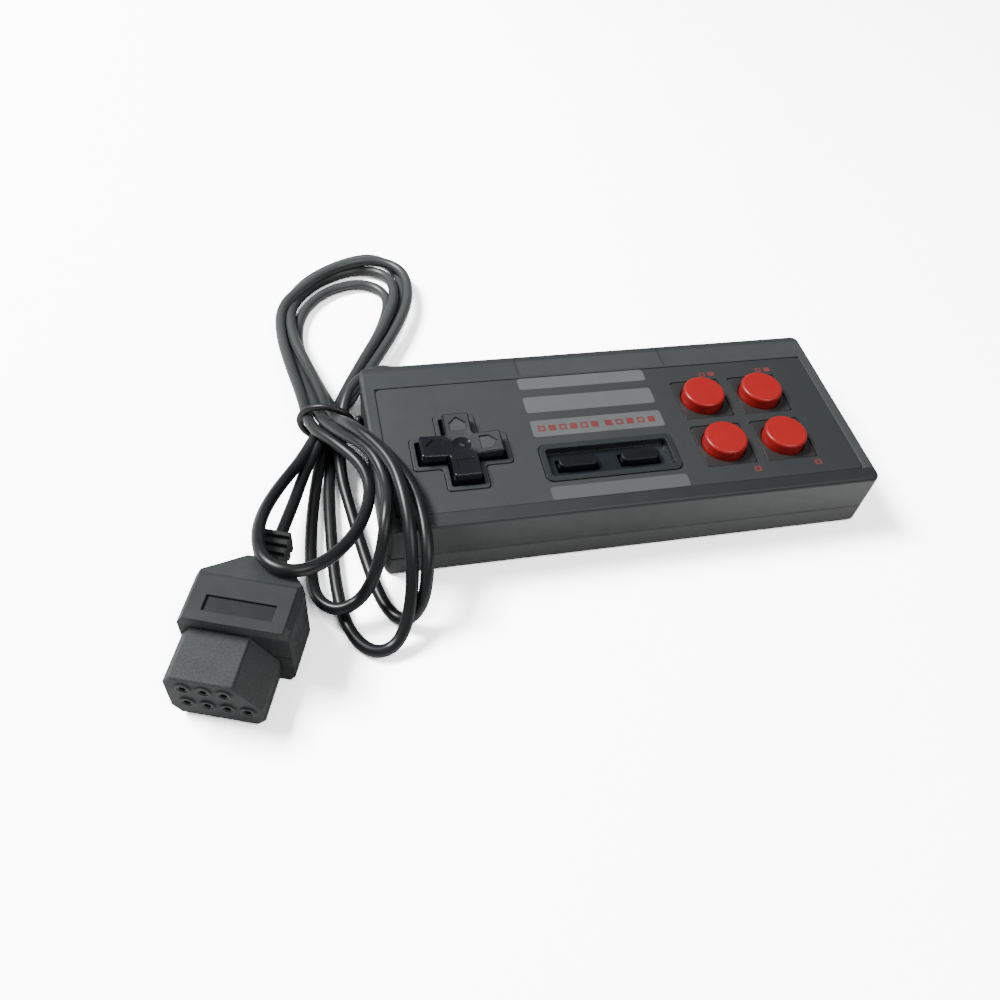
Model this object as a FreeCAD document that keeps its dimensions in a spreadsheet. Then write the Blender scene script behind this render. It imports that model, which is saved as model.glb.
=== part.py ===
"""Wired game controller with its plug and its cord, tied in a figure-eight hank.

Frame: origin at the middle of the underside, +X to the player's right, +Y to the back, +Z up.
"""
import FreeCAD
import Part
import math
import os
import Sketcher
from FreeCAD import Placement, Rotation, Vector

doc = FreeCAD.newDocument("wired_game_controller")

# ---------------------------------------------------------------- driving dimensions (mm, degrees)
DIMENSIONS = [
    # casing
    ("casing_length", 123.0), ("casing_width", 53.0), ("casing_height", 17.0),
    ("split_height", 6.2), ("wall_thickness", 2.0), ("floor_thickness", 2.0),
    ("ceiling_height", 14.0), ("corner_radius", 2.0), ("edge_radius", 0.8), ("seam_chamfer", 0.3),
    ("tongue_height", 1.2), ("tongue_thickness", 0.8), ("seam_gap", 0.1),
    # label plate in the top
    ("plate_length", 117.0), ("plate_front", -22.8), ("plate_back", 18.2), ("plate_corner", 1.5),
    ("recess_depth", 0.6), ("plate_thickness", 0.45), ("plate_gap", 0.2),
    # directional pad
    ("pad_x", -40.5), ("pad_y", -4.9), ("pad_reach", 9.9), ("pad_arm", 3.3), ("pad_top", 20.0),
    ("pad_flange_radius", 12.3), ("pad_flange_bottom", 11.4), ("pad_flange_top", 13.0),
    ("pad_arm_corner", 0.6), ("pad_arm_edge", 0.35), ("pad_dish", 0.75), ("arrow_base", 4.5), ("arrow_shoulder", 6.8),
    ("arrow_tip", 8.7), ("arrow_half_width", 2.05), ("arrow_depth", 0.35), ("lip_corner", 1.0),
    ("pad_dimple_radius", 2.3), ("plunger_radius", 2.2), ("plunger_offset", 7.5),
    ("plunger_bottom", 10.35), ("lip_reach", 11.9), ("lip_arm", 5.0), ("lip_width", 1.1),
    ("lip_top", 17.1), ("pad_ring_radius", 13.2), ("pad_ring_wall", 1.0),
    ("pivot_height", 9.0), ("ball_radius", 1.8), ("ball_gap", 0.1), ("pivot_post_radius", 2.3),
    ("pivot_post_top", 8.0), ("pivot_boss_bottom", 9.6), ("pivot_boss_radius", 2.7),
    # round buttons
    ("button_x", 25.25), ("button_y", -10.6), ("button_pitch_x", 16.25), ("button_pitch_y", 16.1),
    ("button_radius", 5.4), ("button_top", 19.8), ("button_edge", 0.7), ("button_gap", 0.25),
    ("flange_radius", 6.6), ("flange_bottom", 12.5), ("flange_top", 13.9), ("stem_radius", 2.8),
    ("button_square", 13.2), ("square_corner", 0.8), ("square_top", 16.75), ("collar_radius", 7.0), ("collar_wall", 0.7),
    ("collar_bottom", 11.6),
    # select and start keys in their window
    ("window_x", -4.65), ("window_y", -11.2), ("window_reach_x", 17.15), ("window_reach_y", 5.8),
    ("window_corner", 2.0), ("window_lip", 1.5), ("window_floor", 15.0), ("window_underside", 13.5),
    ("key_x", -12.8), ("key_y", -11.1), ("key_pitch", 15.9), ("key_length", 9.8),
    ("key_width", 3.4), ("key_top", 17.0), ("key_gap", 0.3), ("key_skirt", 1.2),
    ("key_skirt_bottom", 12.3), ("key_skirt_top", 13.4),
    # rubber sheets, domes and contacts
    ("sheet_thickness", 0.8), ("dome_base_radius", 4.2), ("dome_top_radius", 2.7),
    ("dome_top", 10.25), ("dome_wall", 0.8), ("pad_dome_top", 9.4), ("pill_radius", 1.5),
    ("pill_bottom", 8.1), ("key_pill_bottom", 7.6), ("contact_radius", 3.0),
    ("contact_thickness", 0.1),
    # circuit board
    ("board_length", 104.0), ("board_front", -22.5), ("board_back", 13.0),
    ("board_bottom", 5.2), ("board_thickness", 1.2), ("board_pin_x", 50.0),
    ("board_pin_front", -20.3), ("board_pin_back", 11.0), ("board_pin_radius", 0.9),
    # casing screws
    ("screw_x", 55.5), ("screw_y", 20.5), ("screw_mid_left", -20.0), ("screw_mid_right", 19.0),
    ("screw_mid_y", 20.8), ("post_radius", 2.75), ("boss_radius", 3.1), ("head_radius", 2.3),
    ("head_bottom", 1.7), ("head_thickness", 1.3), ("shank_radius", 1.0), ("shank_top", 12.0),
    ("sink_radius", 2.6), ("sink_depth", 3.0), ("screw_gap", 0.05),
    # cord and its exit
    ("cord_diameter", 2.9), ("exit_x", -36.0), ("relief_reach", 3.0), ("relief_radius", 2.4),
    ("wire_radius", 0.5), ("bundle_diameter", 6.0),
    # plug
    ("plug_x", -94.3), ("plug_y", -46.7), ("plug_turn", -19.7), ("plug_half_width", 11.5),
    ("plug_height", 19.0), ("plug_straight", 11.5), ("plug_depth", 21.0), ("plug_tail_half", 4.2),
    ("plug_tail_rise", 6.0), ("plug_slope_start", 11.0), ("plug_wall", 2.0), ("plug_bevel_side", 1.3),
    ("plug_bevel_top", 2.0), ("nose_length", 11.4), ("nose_bottom", 0.7), ("plug_seam", 0.2), ("nose_top", 15.5),
    ("nose_left", -11.0), ("nose_right", 8.6), ("socket_left", -6.9), ("socket_pitch", 4.12),
    ("socket_low", 6.5), ("socket_high", 12.2), ("socket_radius", 1.15), ("contact_outer", 1.1),
    ("socket_rim_radius", 1.6), ("socket_rim_height", 0.4),
    ("contact_inner", 0.75), ("contact_depth", 9.0), ("tail_half_width", 3.1), ("tail_end", 29.0),
    ("plug_screw_x", 5.6), ("plug_screw_y", 15.6),
]

dims = doc.addObject("Spreadsheet::Sheet", "dims")
for row, (alias, value) in enumerate(DIMENSIONS, start=1):
    dims.set("A%d" % row, alias)
    dims.set("B%d" % row, str(value))
    dims.setAlias("B%d" % row, alias)
doc.recompute()


def size(alias):
    """The value of one cell, for code that can't hold an expression."""
    return float(getattr(dims, alias))


# ---------------------------------------------------------------- helpers for sketches and bodies
def new_body(label):
    body = doc.addObject("PartDesign::Body", label)
    body.Label = label
    return body


def new_sketch(body, name, height="0", role="XY_Plane"):
    """A sketch on one of the body's own origin planes, raised by an expression."""
    sketch = body.newObject("Sketcher::SketchObject", name)
    plane = [feature for feature in body.Origin.OriginFeatures if feature.Role == role][0]
    sketch.AttachmentSupport = [(plane, "")]
    sketch.MapMode = "FlatFace"
    sketch.setExpression("AttachmentOffset.Base.z", height)
    return sketch


def bind(sketch, kind, places, expression):
    """One dimension of the sketch, bound to an expression."""
    index = sketch.addConstraint(Sketcher.Constraint(kind, *places, 1.0))
    name = "size%d" % index
    sketch.renameConstraint(index, name)
    sketch.setExpression("Constraints." + name, expression)


def draw_polygon(sketch, corners):
    """A closed outline whose corners are pairs of expressions."""
    count = len(corners)
    first = sketch.GeometryCount
    seeds = [Vector(math.cos(2 * math.pi * k / count), math.sin(2 * math.pi * k / count), 0)
             for k in range(count)]
    for k in range(count):
        sketch.addGeometry(Part.LineSegment(seeds[k], seeds[(k + 1) % count]))
    for k in range(count):
        following = first + (k + 1) % count
        sketch.addConstraint(Sketcher.Constraint("Coincident", first + k, 2, following, 1))
    for k, (across, along) in enumerate(corners):
        bind(sketch, "DistanceX", (-1, 1, first + k, 1), across)
        bind(sketch, "DistanceY", (-1, 1, first + k, 1), along)


def draw_rectangle(sketch, left, right, front, back):
    draw_polygon(sketch, [(left, front), (right, front), (right, back), (left, back)])


def draw_circle(sketch, across, along, radius):
    index = sketch.addGeometry(Part.Circle(Vector(0, 0, 0), Vector(0, 0, 1), 1.0))
    bind(sketch, "Radius", (index,), radius)
    bind(sketch, "DistanceX", (-1, 1, index, 3), across)
    bind(sketch, "DistanceY", (-1, 1, index, 3), along)


def draw_cross(sketch, reach, arm, centre_x="dims.pad_x", centre_y="dims.pad_y"):
    """A plus-shaped outline: reach and arm are half the length and half the width."""
    signs = [(1, 0, -1), (1, 0, 1), (0, 0, 1), (0, 1, 1), (0, 1, -1), (0, 0, 2),
             (-1, 0, 1), (-1, 0, -1), (0, 0, 3), (0, -1, -1), (0, -1, 1), (0, 0, 4)]
    inner = {1: (1, 1), 2: (-1, 1), 3: (-1, -1), 4: (1, -1)}
    corners = []
    for east, north, side in signs:
        if east:
            offset = (east * 1.0, side * 1.0, "x")
        elif north:
            offset = (side * 1.0, north * 1.0, "y")
        else:
            offset = (inner[side][0] * 1.0, inner[side][1] * 1.0, "inner")
        far_x = reach if offset[2] == "x" else arm
        far_y = reach if offset[2] == "y" else arm
        corners.append(("%s + (%g) * (%s)" % (centre_x, offset[0], far_x),
                        "%s + (%g) * (%s)" % (centre_y, offset[1], far_y)))
    draw_polygon(sketch, corners)


def pad(body, sketch, length, downward=False):
    feature = body.newObject("PartDesign::Pad", sketch.Name + "_pad")
    feature.Profile = sketch
    feature.setExpression("Length", length)
    feature.Reversed = downward
    sketch.Visibility = False
    doc.recompute()
    return feature


def pocket(body, sketch, depth, upward=False):
    """A cut below the sketch, or above it, that must take something away."""
    before = body.Shape.Volume
    feature = body.newObject("PartDesign::Pocket", sketch.Name + "_pocket")
    feature.Profile = sketch
    feature.setExpression("Length", depth)
    feature.Reversed = upward
    sketch.Visibility = False
    doc.recompute()
    if not feature.Shape.Volume < before - 1e-6:
        raise RuntimeError(feature.Name + " cuts nothing")
    return feature


def dress(body, kind, base, radius, chosen):
    """A fillet or chamfer on the edges for which chosen(edge) is true."""
    names = ["Edge%d" % (k + 1) for k, edge in enumerate(base.Shape.Edges) if chosen(edge)]
    feature = body.newObject("PartDesign::" + kind, base.Name + "_" + kind.lower())
    feature.Base = (base, names)
    feature.setExpression("Radius" if kind == "Fillet" else "Size", radius)
    doc.recompute()
    return feature


def is_upright(edge):
    box = edge.BoundBox
    return box.ZLength > 0.5 and box.XLength < 1e-6 and box.YLength < 1e-6


def is_corner(bottom, top, left=-1000.0, right=1000.0):
    """A test for upright edges between two heights and within a range of x."""
    def test(edge):
        span = edge.BoundBox
        upright = span.XLength < 1e-6 and span.YLength < 1e-6
        return (upright and abs(span.ZMin - bottom) < 1e-6 and abs(span.ZMax - top) < 1e-6
                and left < span.XMin < right)
    return test


def lies_at(height):
    """A test for edges that lie flat at one height."""
    return lambda edge: abs(edge.BoundBox.ZMin - height) < 1e-6 and edge.BoundBox.ZLength < 1e-6


def is_outer(edge):
    """True for an edge on the casing's outer side walls."""
    box = edge.BoundBox
    half_x = size("casing_length") / 2
    half_y = size("casing_width") / 2
    inset = size("corner_radius") + 0.01
    return (max(abs(box.XMin), abs(box.XMax)) > half_x - inset
            and (min(abs(box.XMin), abs(box.XMax)) > half_x - inset
                 or max(abs(box.YMin), abs(box.YMax)) > half_y - 0.01)
            or min(abs(box.YMin), abs(box.YMax)) > half_y - 0.01)


def turned(body, sketch):
    """A revolution of the sketch about the body's own vertical axis."""
    feature = body.newObject("PartDesign::Revolution", sketch.Name + "_turned")
    feature.Profile = sketch
    axis = [item for item in body.Origin.OriginFeatures if item.Role == "Z_Axis"][0]
    feature.ReferenceAxis = (axis, [""])
    feature.Angle = 360
    sketch.Visibility = False
    doc.recompute()
    return feature


def set_place(feature, across, along, height="0"):
    """A placement whose position is three expressions."""
    feature.setExpression("Placement.Base.x", across)
    feature.setExpression("Placement.Base.y", along)
    feature.setExpression("Placement.Base.z", height)


# ---------------------------------------------------------------- helpers for primitives
def box(name, left, right, front, back, bottom, top):
    """A block between six expressions."""
    block = doc.addObject("Part::Box", name)
    block.setExpression("Length", "(%s) - (%s)" % (right, left))
    block.setExpression("Width", "(%s) - (%s)" % (back, front))
    block.setExpression("Height", "(%s) - (%s)" % (top, bottom))
    set_place(block, left, front, bottom)
    return block


def cylinder(name, radius, across, along, bottom, top):
    """An upright round bar between two heights."""
    bar = doc.addObject("Part::Cylinder", name)
    bar.setExpression("Radius", radius)
    bar.setExpression("Height", "(%s) - (%s)" % (top, bottom))
    set_place(bar, across, along, bottom)
    return bar


def join(name, pieces):
    feature = doc.addObject("Part::MultiFuse", name)
    feature.Shapes = pieces
    feature.Label = name
    return feature


def cut(name, base, tools):
    """base with every tool taken away."""
    feature = doc.addObject("Part::Cut", name)
    feature.Base = base
    feature.Tool = tools[0] if len(tools) == 1 else join(name + "_tools", tools)
    feature.Label = name
    return feature


def group(name, pieces):
    """Separate equal solids that share one node."""
    feature = doc.addObject("Part::Compound", name)
    feature.Links = pieces
    feature.Label = name
    return feature


BOARD_TOP = "dims.board_bottom + dims.board_thickness"
HALF_LENGTH = "dims.casing_length / 2"
HALF_WIDTH = "dims.casing_width / 2"
BUTTONS = {
    "button_b": (0, 0), "button_a": (1, 0), "button_turbo_b": (0, 1), "button_turbo_a": (1, 1),
}
KEYS = {"select_key": 0, "start_key": 1}
SCREW_PLACES = [
    ("-dims.screw_x", "-dims.screw_y"), ("dims.screw_x", "-dims.screw_y"),
    ("-dims.screw_x", "dims.screw_y"), ("dims.screw_x", "dims.screw_y"),
    ("dims.screw_mid_left", "dims.screw_mid_y"), ("dims.screw_mid_right", "dims.screw_mid_y"),
]
BOARD_PINS = [
    (side + "dims.board_pin_x", along)
    for side in ("-", "") for along in ("dims.board_pin_front", "dims.board_pin_back")
]


def button_place(name):
    column, rank = BUTTONS[name]
    return ("dims.button_x + %d * dims.button_pitch_x" % column,
            "dims.button_y + %d * dims.button_pitch_y" % rank)


def key_place(name):
    return "dims.key_x + %d * dims.key_pitch" % KEYS[name], "dims.key_y"


def plunger_places():
    """The four points under the directional pad's arms."""
    for east, north in ((1, 0), (-1, 0), (0, 1), (0, -1)):
        yield ("dims.pad_x + %d * dims.plunger_offset" % east,
               "dims.pad_y + %d * dims.plunger_offset" % north)


def square_sides(name, half):
    """The sides of a square about a button, as four expressions."""
    across, along = button_place(name)
    return ("%s - %s" % (across, half), "%s + %s" % (across, half),
            "%s - %s" % (along, half), "%s + %s" % (along, half))


def window_sides(inset):
    """The sides of the key window, moved inwards by inset."""
    return ("dims.window_x - dims.window_reach_x + %s" % inset,
            "dims.window_x + dims.window_reach_x - %s" % inset,
            "dims.window_y - dims.window_reach_y + %s" % inset,
            "dims.window_y + dims.window_reach_y - %s" % inset)


# ---------------------------------------------------------------- casing
def casing_block(body, name, bottom, height):
    """The casing's outer block with rounded upright corners."""
    outline = new_sketch(body, name, bottom)
    draw_rectangle(outline, "-" + HALF_LENGTH, HALF_LENGTH, "-" + HALF_WIDTH, HALF_WIDTH)
    block = pad(body, outline, height)
    return dress(body, "Fillet", block, "dims.corner_radius", is_upright)


def casing_cavity(body, name, level, depth):
    """The hollow between the walls, above the sketch."""
    outline = new_sketch(body, name, level)
    inset = " + dims.wall_thickness"
    draw_rectangle(outline, "-%s%s" % (HALF_LENGTH, inset), "%s - dims.wall_thickness" % HALF_LENGTH,
                   "-%s%s" % (HALF_WIDTH, inset), "%s - dims.wall_thickness" % HALF_WIDTH)
    return pocket(body, outline, depth, upward=True)


def bar_along(name, radius, across, height, front, back):
    """A round bar that runs front to back."""
    bar = doc.addObject("Part::Cylinder", name)
    bar.setExpression("Radius", radius)
    bar.setExpression("Height", "(%s) - (%s)" % (back, front))
    bar.Placement = Placement(Vector(0, 0, 0), Rotation(Vector(1, 0, 0), -90))
    set_place(bar, across, front, height)
    return bar


def gland_hole():
    """The room for the cord's gland in the back wall, with its wider inner flange."""
    inner_face = HALF_WIDTH + " - dims.wall_thickness"
    hole = bar_along("gland_bore", "dims.relief_radius + dims.screw_gap", "dims.exit_x",
                     "dims.split_height", inner_face + " - 1", HALF_WIDTH + " + 1")
    flange = bar_along("gland_flange_room", "dims.relief_radius + 1.2", "dims.exit_x",
                       "dims.split_height", inner_face + " - 2", inner_face)
    return join("gland_room", [hole, flange])


def make_top_casing():
    body = new_body("top_casing_shell")
    block = casing_block(body, "top_block", "dims.split_height",
                         "dims.casing_height - dims.split_height")
    rim = dress(body, "Fillet", block, "dims.edge_radius", lies_at(size("casing_height")))
    dress(body, "Chamfer", rim, "dims.seam_chamfer", lies_at(size("split_height")))
    casing_cavity(body, "top_cavity", "dims.split_height", "dims.ceiling_height - dims.split_height")

    recess = new_sketch(body, "plate_recess", "dims.casing_height")
    half_plate = "dims.plate_length / 2"
    draw_rectangle(recess, "-" + half_plate, half_plate, "dims.plate_front", "dims.plate_back")
    pocket(body, recess, "dims.recess_depth")

    floor_level = "dims.casing_height - dims.recess_depth"
    lips = new_sketch(body, "pad_lip", floor_level)
    draw_cross(lips, "dims.lip_reach", "dims.lip_arm")
    raised = pad(body, lips, "dims.lip_top - dims.casing_height + dims.recess_depth")
    floor = size("casing_height") - size("recess_depth")
    dress(body, "Fillet", raised, "dims.lip_corner", is_corner(floor, size("lip_top")))
    window = new_sketch(body, "window_lip", floor_level)
    draw_rectangle(window, *window_sides("0"))
    raised = pad(body, window, "dims.lip_top - dims.casing_height + dims.recess_depth")
    dress(body, "Fillet", raised, "dims.window_corner",
          is_corner(floor, size("lip_top"), left=size("window_x") - size("window_reach_x") - 0.1))
    squares = new_sketch(body, "button_squares", floor_level)
    for name in BUTTONS:
        draw_rectangle(squares, *square_sides(name, "dims.button_square / 2"))
    raised = pad(body, squares, "dims.square_top - dims.casing_height + dims.recess_depth")
    dress(body, "Fillet", raised, "dims.square_corner", is_corner(floor, size("square_top")))

    backing = new_sketch(body, "window_backing", "dims.window_underside")
    draw_rectangle(backing, *window_sides("0"))
    pad(body, backing, "dims.ceiling_height - dims.window_underside + 0.5")
    posts = new_sketch(body, "screw_posts", "dims.split_height")
    for across, along in SCREW_PLACES:
        draw_circle(posts, across, along, "dims.post_radius")
    pad(body, posts, "dims.ceiling_height - dims.split_height + 0.5")
    pillars = new_sketch(body, "board_pillars", BOARD_TOP + " + 0.6")
    for across, along in BOARD_PINS:
        draw_circle(pillars, across, along, "dims.board_pin_radius + 0.7")
    pad(body, pillars, "dims.ceiling_height - (%s) - 0.1" % BOARD_TOP)
    collars = new_sketch(body, "button_collars", "dims.collar_bottom")
    for name in BUTTONS:
        draw_circle(collars, *button_place(name), "dims.collar_radius + dims.collar_wall")
        draw_circle(collars, *button_place(name), "dims.collar_radius")
    draw_circle(collars, "dims.pad_x", "dims.pad_y", "dims.pad_ring_radius + dims.pad_ring_wall")
    draw_circle(collars, "dims.pad_x", "dims.pad_y", "dims.pad_ring_radius")
    pad(body, collars, "dims.ceiling_height - dims.collar_bottom + 0.5")

    window_hole = new_sketch(body, "window_hollow", "dims.lip_top")
    draw_rectangle(window_hole, *window_sides("dims.window_lip"))
    sunk = pocket(body, window_hole, "dims.lip_top - dims.window_floor")
    dress(body, "Fillet", sunk, "dims.window_corner - 1",
          is_corner(size("window_floor"), size("lip_top")))
    slots = new_sketch(body, "key_slots", "dims.lip_top")
    for name in KEYS:
        across, along = key_place(name)
        draw_rectangle(slots, across + " - dims.key_length / 2 - dims.key_gap",
                       across + " + dims.key_length / 2 + dims.key_gap",
                       along + " - dims.key_width / 2 - dims.key_gap",
                       along + " + dims.key_width / 2 + dims.key_gap")
    pocket(body, slots, "dims.lip_top - dims.window_underside + 1")
    holes = new_sketch(body, "button_holes", "dims.lip_top")
    for name in BUTTONS:
        draw_circle(holes, *button_place(name), "dims.button_radius + dims.button_gap")
    pocket(body, holes, "dims.lip_top - dims.ceiling_height + 1")
    cross = new_sketch(body, "pad_hole", "dims.lip_top")
    draw_cross(cross, "dims.lip_reach - dims.lip_width", "dims.lip_arm - dims.lip_width")
    opened = pocket(body, cross, "dims.lip_top - dims.ceiling_height + 1")
    dress(body, "Fillet", opened, "dims.lip_corner / 2",
          is_corner(size("ceiling_height"), size("lip_top"), right=size("pad_x") + size("lip_reach")))
    pilots = new_sketch(body, "screw_pilots", "dims.split_height")
    for across, along in SCREW_PLACES:
        draw_circle(pilots, across, along, "dims.shank_radius + dims.screw_gap")
    pocket(body, pilots, "dims.shank_top - dims.split_height + 0.5", upward=True)
    return cut("top_casing", body, [gland_hole()])


def make_bottom_casing():
    body = new_body("bottom_casing_shell")
    block = casing_block(body, "bottom_block", "0", "dims.split_height")
    foot = dress(body, "Fillet", block, "dims.edge_radius", lies_at(0))
    dress(body, "Chamfer", foot, "dims.seam_chamfer", lies_at(size("split_height")))
    casing_cavity(body, "bottom_cavity", "dims.floor_thickness",
                  "dims.split_height - dims.floor_thickness")

    tongue = new_sketch(body, "tongue", "dims.floor_thickness")
    for extra in ("0", "dims.tongue_thickness"):
        inset = "dims.wall_thickness + dims.seam_gap + " + extra
        draw_rectangle(tongue, "-%s + %s" % (HALF_LENGTH, inset), "%s - (%s)" % (HALF_LENGTH, inset),
                       "-%s + %s" % (HALF_WIDTH, inset), "%s - (%s)" % (HALF_WIDTH, inset))
    pad(body, tongue, "dims.split_height - dims.floor_thickness + dims.tongue_height")
    skirting = new_sketch(body, "skirting", "dims.floor_thickness")
    for inset in ("dims.wall_thickness - 0.5", "dims.wall_thickness + 0.5"):
        draw_rectangle(skirting, "-%s + %s" % (HALF_LENGTH, inset), "%s - (%s)" % (HALF_LENGTH, inset),
                       "-%s + %s" % (HALF_WIDTH, inset), "%s - (%s)" % (HALF_WIDTH, inset))
    pad(body, skirting, "dims.split_height - dims.floor_thickness - 1")

    bosses = new_sketch(body, "screw_bosses", "dims.floor_thickness")
    for across, along in SCREW_PLACES:
        draw_circle(bosses, across, along, "dims.boss_radius")
    pad(body, bosses, "dims.split_height - dims.floor_thickness")
    rests = new_sketch(body, "board_rests", "dims.floor_thickness")
    for across, along in BOARD_PINS:
        draw_circle(rests, across, along, "2 * dims.board_pin_radius")
    for along in ("-12", "2"):
        draw_rectangle(rests, "-28", "44", "%s - 0.6" % along, "%s + 0.6" % along)
    pad(body, rests, "dims.board_bottom - dims.floor_thickness")
    pins = new_sketch(body, "board_pins", "dims.floor_thickness")
    for across, along in BOARD_PINS:
        draw_circle(pins, across, along, "dims.board_pin_radius")
    pad(body, pins, BOARD_TOP + " - dims.floor_thickness + 0.4")
    pivot = new_sketch(body, "pivot_post", "dims.floor_thickness")
    draw_circle(pivot, "dims.pad_x", "dims.pad_y", "dims.pivot_post_radius")
    pad(body, pivot, "dims.pivot_post_top - dims.floor_thickness")
    pegs = new_sketch(body, "cord_pegs", "dims.floor_thickness")
    for side in ("-", "+"):
        draw_circle(pegs, "dims.exit_x %s 3.2" % side, "20.5", "1.2")
    pad(body, pegs, "dims.split_height - dims.floor_thickness + 2")

    sinks = new_sketch(body, "screw_sinks", "0")
    for across, along in SCREW_PLACES:
        draw_circle(sinks, across, along, "dims.sink_radius")
    pocket(body, sinks, "dims.sink_depth", upward=True)
    shanks = new_sketch(body, "screw_clearances", "0")
    for across, along in SCREW_PLACES:
        draw_circle(shanks, across, along, "dims.shank_radius + 0.3")
    pocket(body, shanks, "dims.split_height + 0.5", upward=True)

    cup = doc.addObject("Part::Sphere", "pivot_cup")
    cup.setExpression("Radius", "dims.ball_radius + dims.ball_gap")
    set_place(cup, "dims.pad_x", "dims.pad_y", "dims.pivot_height")
    return cut("bottom_casing", body, [cup, gland_hole()])


def make_casing_screws():
    screws = []
    for number, (across, along) in enumerate(SCREW_PLACES, start=1):
        head = cylinder("screw_head_%d" % number, "dims.head_radius", across, along,
                        "dims.head_bottom", "dims.head_bottom + dims.head_thickness")
        shank = cylinder("screw_shank_%d" % number, "dims.shank_radius", across, along,
                         "dims.head_bottom + dims.head_thickness / 2", "dims.shank_top")
        slots = [
            box("screw_slot_%d_%d" % (number, turn),
                "%s - %s" % (across, reach_x), "%s + %s" % (across, reach_x),
                "%s - %s" % (along, reach_y), "%s + %s" % (along, reach_y),
                "dims.head_bottom - 0.1", "dims.head_bottom + 0.6")
            for turn, (reach_x, reach_y) in enumerate((("1.4", "0.25"), ("0.25", "1.4")))
        ]
        screws.append(cut("screw_%d" % number, join("screw_blank_%d" % number, [head, shank]), slots))
    return group("casing_screws", screws)


def make_label_plate():
    body = new_body("label_plate")
    outline = new_sketch(body, "plate_outline", "dims.casing_height - dims.recess_depth")
    half_plate = "dims.plate_length / 2 - dims.plate_gap"
    draw_rectangle(outline, "-%s" % half_plate.replace(" - ", " + "), half_plate,
                   "dims.plate_front + dims.plate_gap", "dims.plate_back - dims.plate_gap")
    plate = pad(body, outline, "dims.plate_thickness")
    dress(body, "Fillet", plate, "dims.plate_corner", lambda edge: edge.BoundBox.ZLength > 0.1)
    holes = new_sketch(body, "plate_holes", "dims.casing_height")
    draw_cross(holes, "dims.lip_reach + dims.plate_gap", "dims.lip_arm + dims.plate_gap")
    draw_rectangle(holes, *window_sides("(-dims.plate_gap)"))
    for name in BUTTONS:
        draw_rectangle(holes, *square_sides(name, "(dims.button_square / 2 + dims.plate_gap)"))
    cleared = pocket(body, holes, "dims.recess_depth + 0.5")
    bottom = size("casing_height") - size("recess_depth")
    top = bottom + size("plate_thickness")
    edge_x = size("plate_length") / 2 - size("plate_gap") - size("plate_corner") - 0.1
    window_left = size("window_x") - size("window_reach_x") - 1
    window_right = size("window_x") + size("window_reach_x") + 1
    around_pad = dress(body, "Fillet", cleared, "dims.lip_corner",
                       is_corner(bottom, top, left=-edge_x, right=window_left))
    around_window = dress(body, "Fillet", around_pad, "dims.window_corner",
                          is_corner(bottom, top, left=window_left, right=window_right))
    dress(body, "Fillet", around_window, "dims.square_corner",
          is_corner(bottom, top, left=window_right, right=edge_x))
    return body


# ---------------------------------------------------------------- controls
def is_arm_rim(edge):
    """True for the edges round the dished top of the directional pad."""
    span = edge.BoundBox
    low = size("pad_top") - size("pad_dish")
    return span.ZMin > low + 0.02 and span.ZMax < size("pad_top") + 0.1


def dish(body, name, sink):
    """A shallow cone taken from the top of the directional pad, its point at the middle."""
    cone = body.newObject("PartDesign::SubtractiveCone", name)
    cone.Radius1 = 0.0
    cone.setExpression("Radius2", "dims.pad_reach * (dims.pad_dish + 1) / dims.pad_dish")
    cone.setExpression("Height", "dims.pad_dish + 1")
    plane = [item for item in body.Origin.OriginFeatures if item.Role == "XY_Plane"][0]
    cone.AttachmentSupport = [(plane, "")]
    cone.MapMode = "FlatFace"
    cone.setExpression("AttachmentOffset.Base.x", "dims.pad_x")
    cone.setExpression("AttachmentOffset.Base.y", "dims.pad_y")
    cone.setExpression("AttachmentOffset.Base.z", "dims.pad_top - dims.pad_dish - (%s)" % sink)
    doc.recompute()
    return cone


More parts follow.
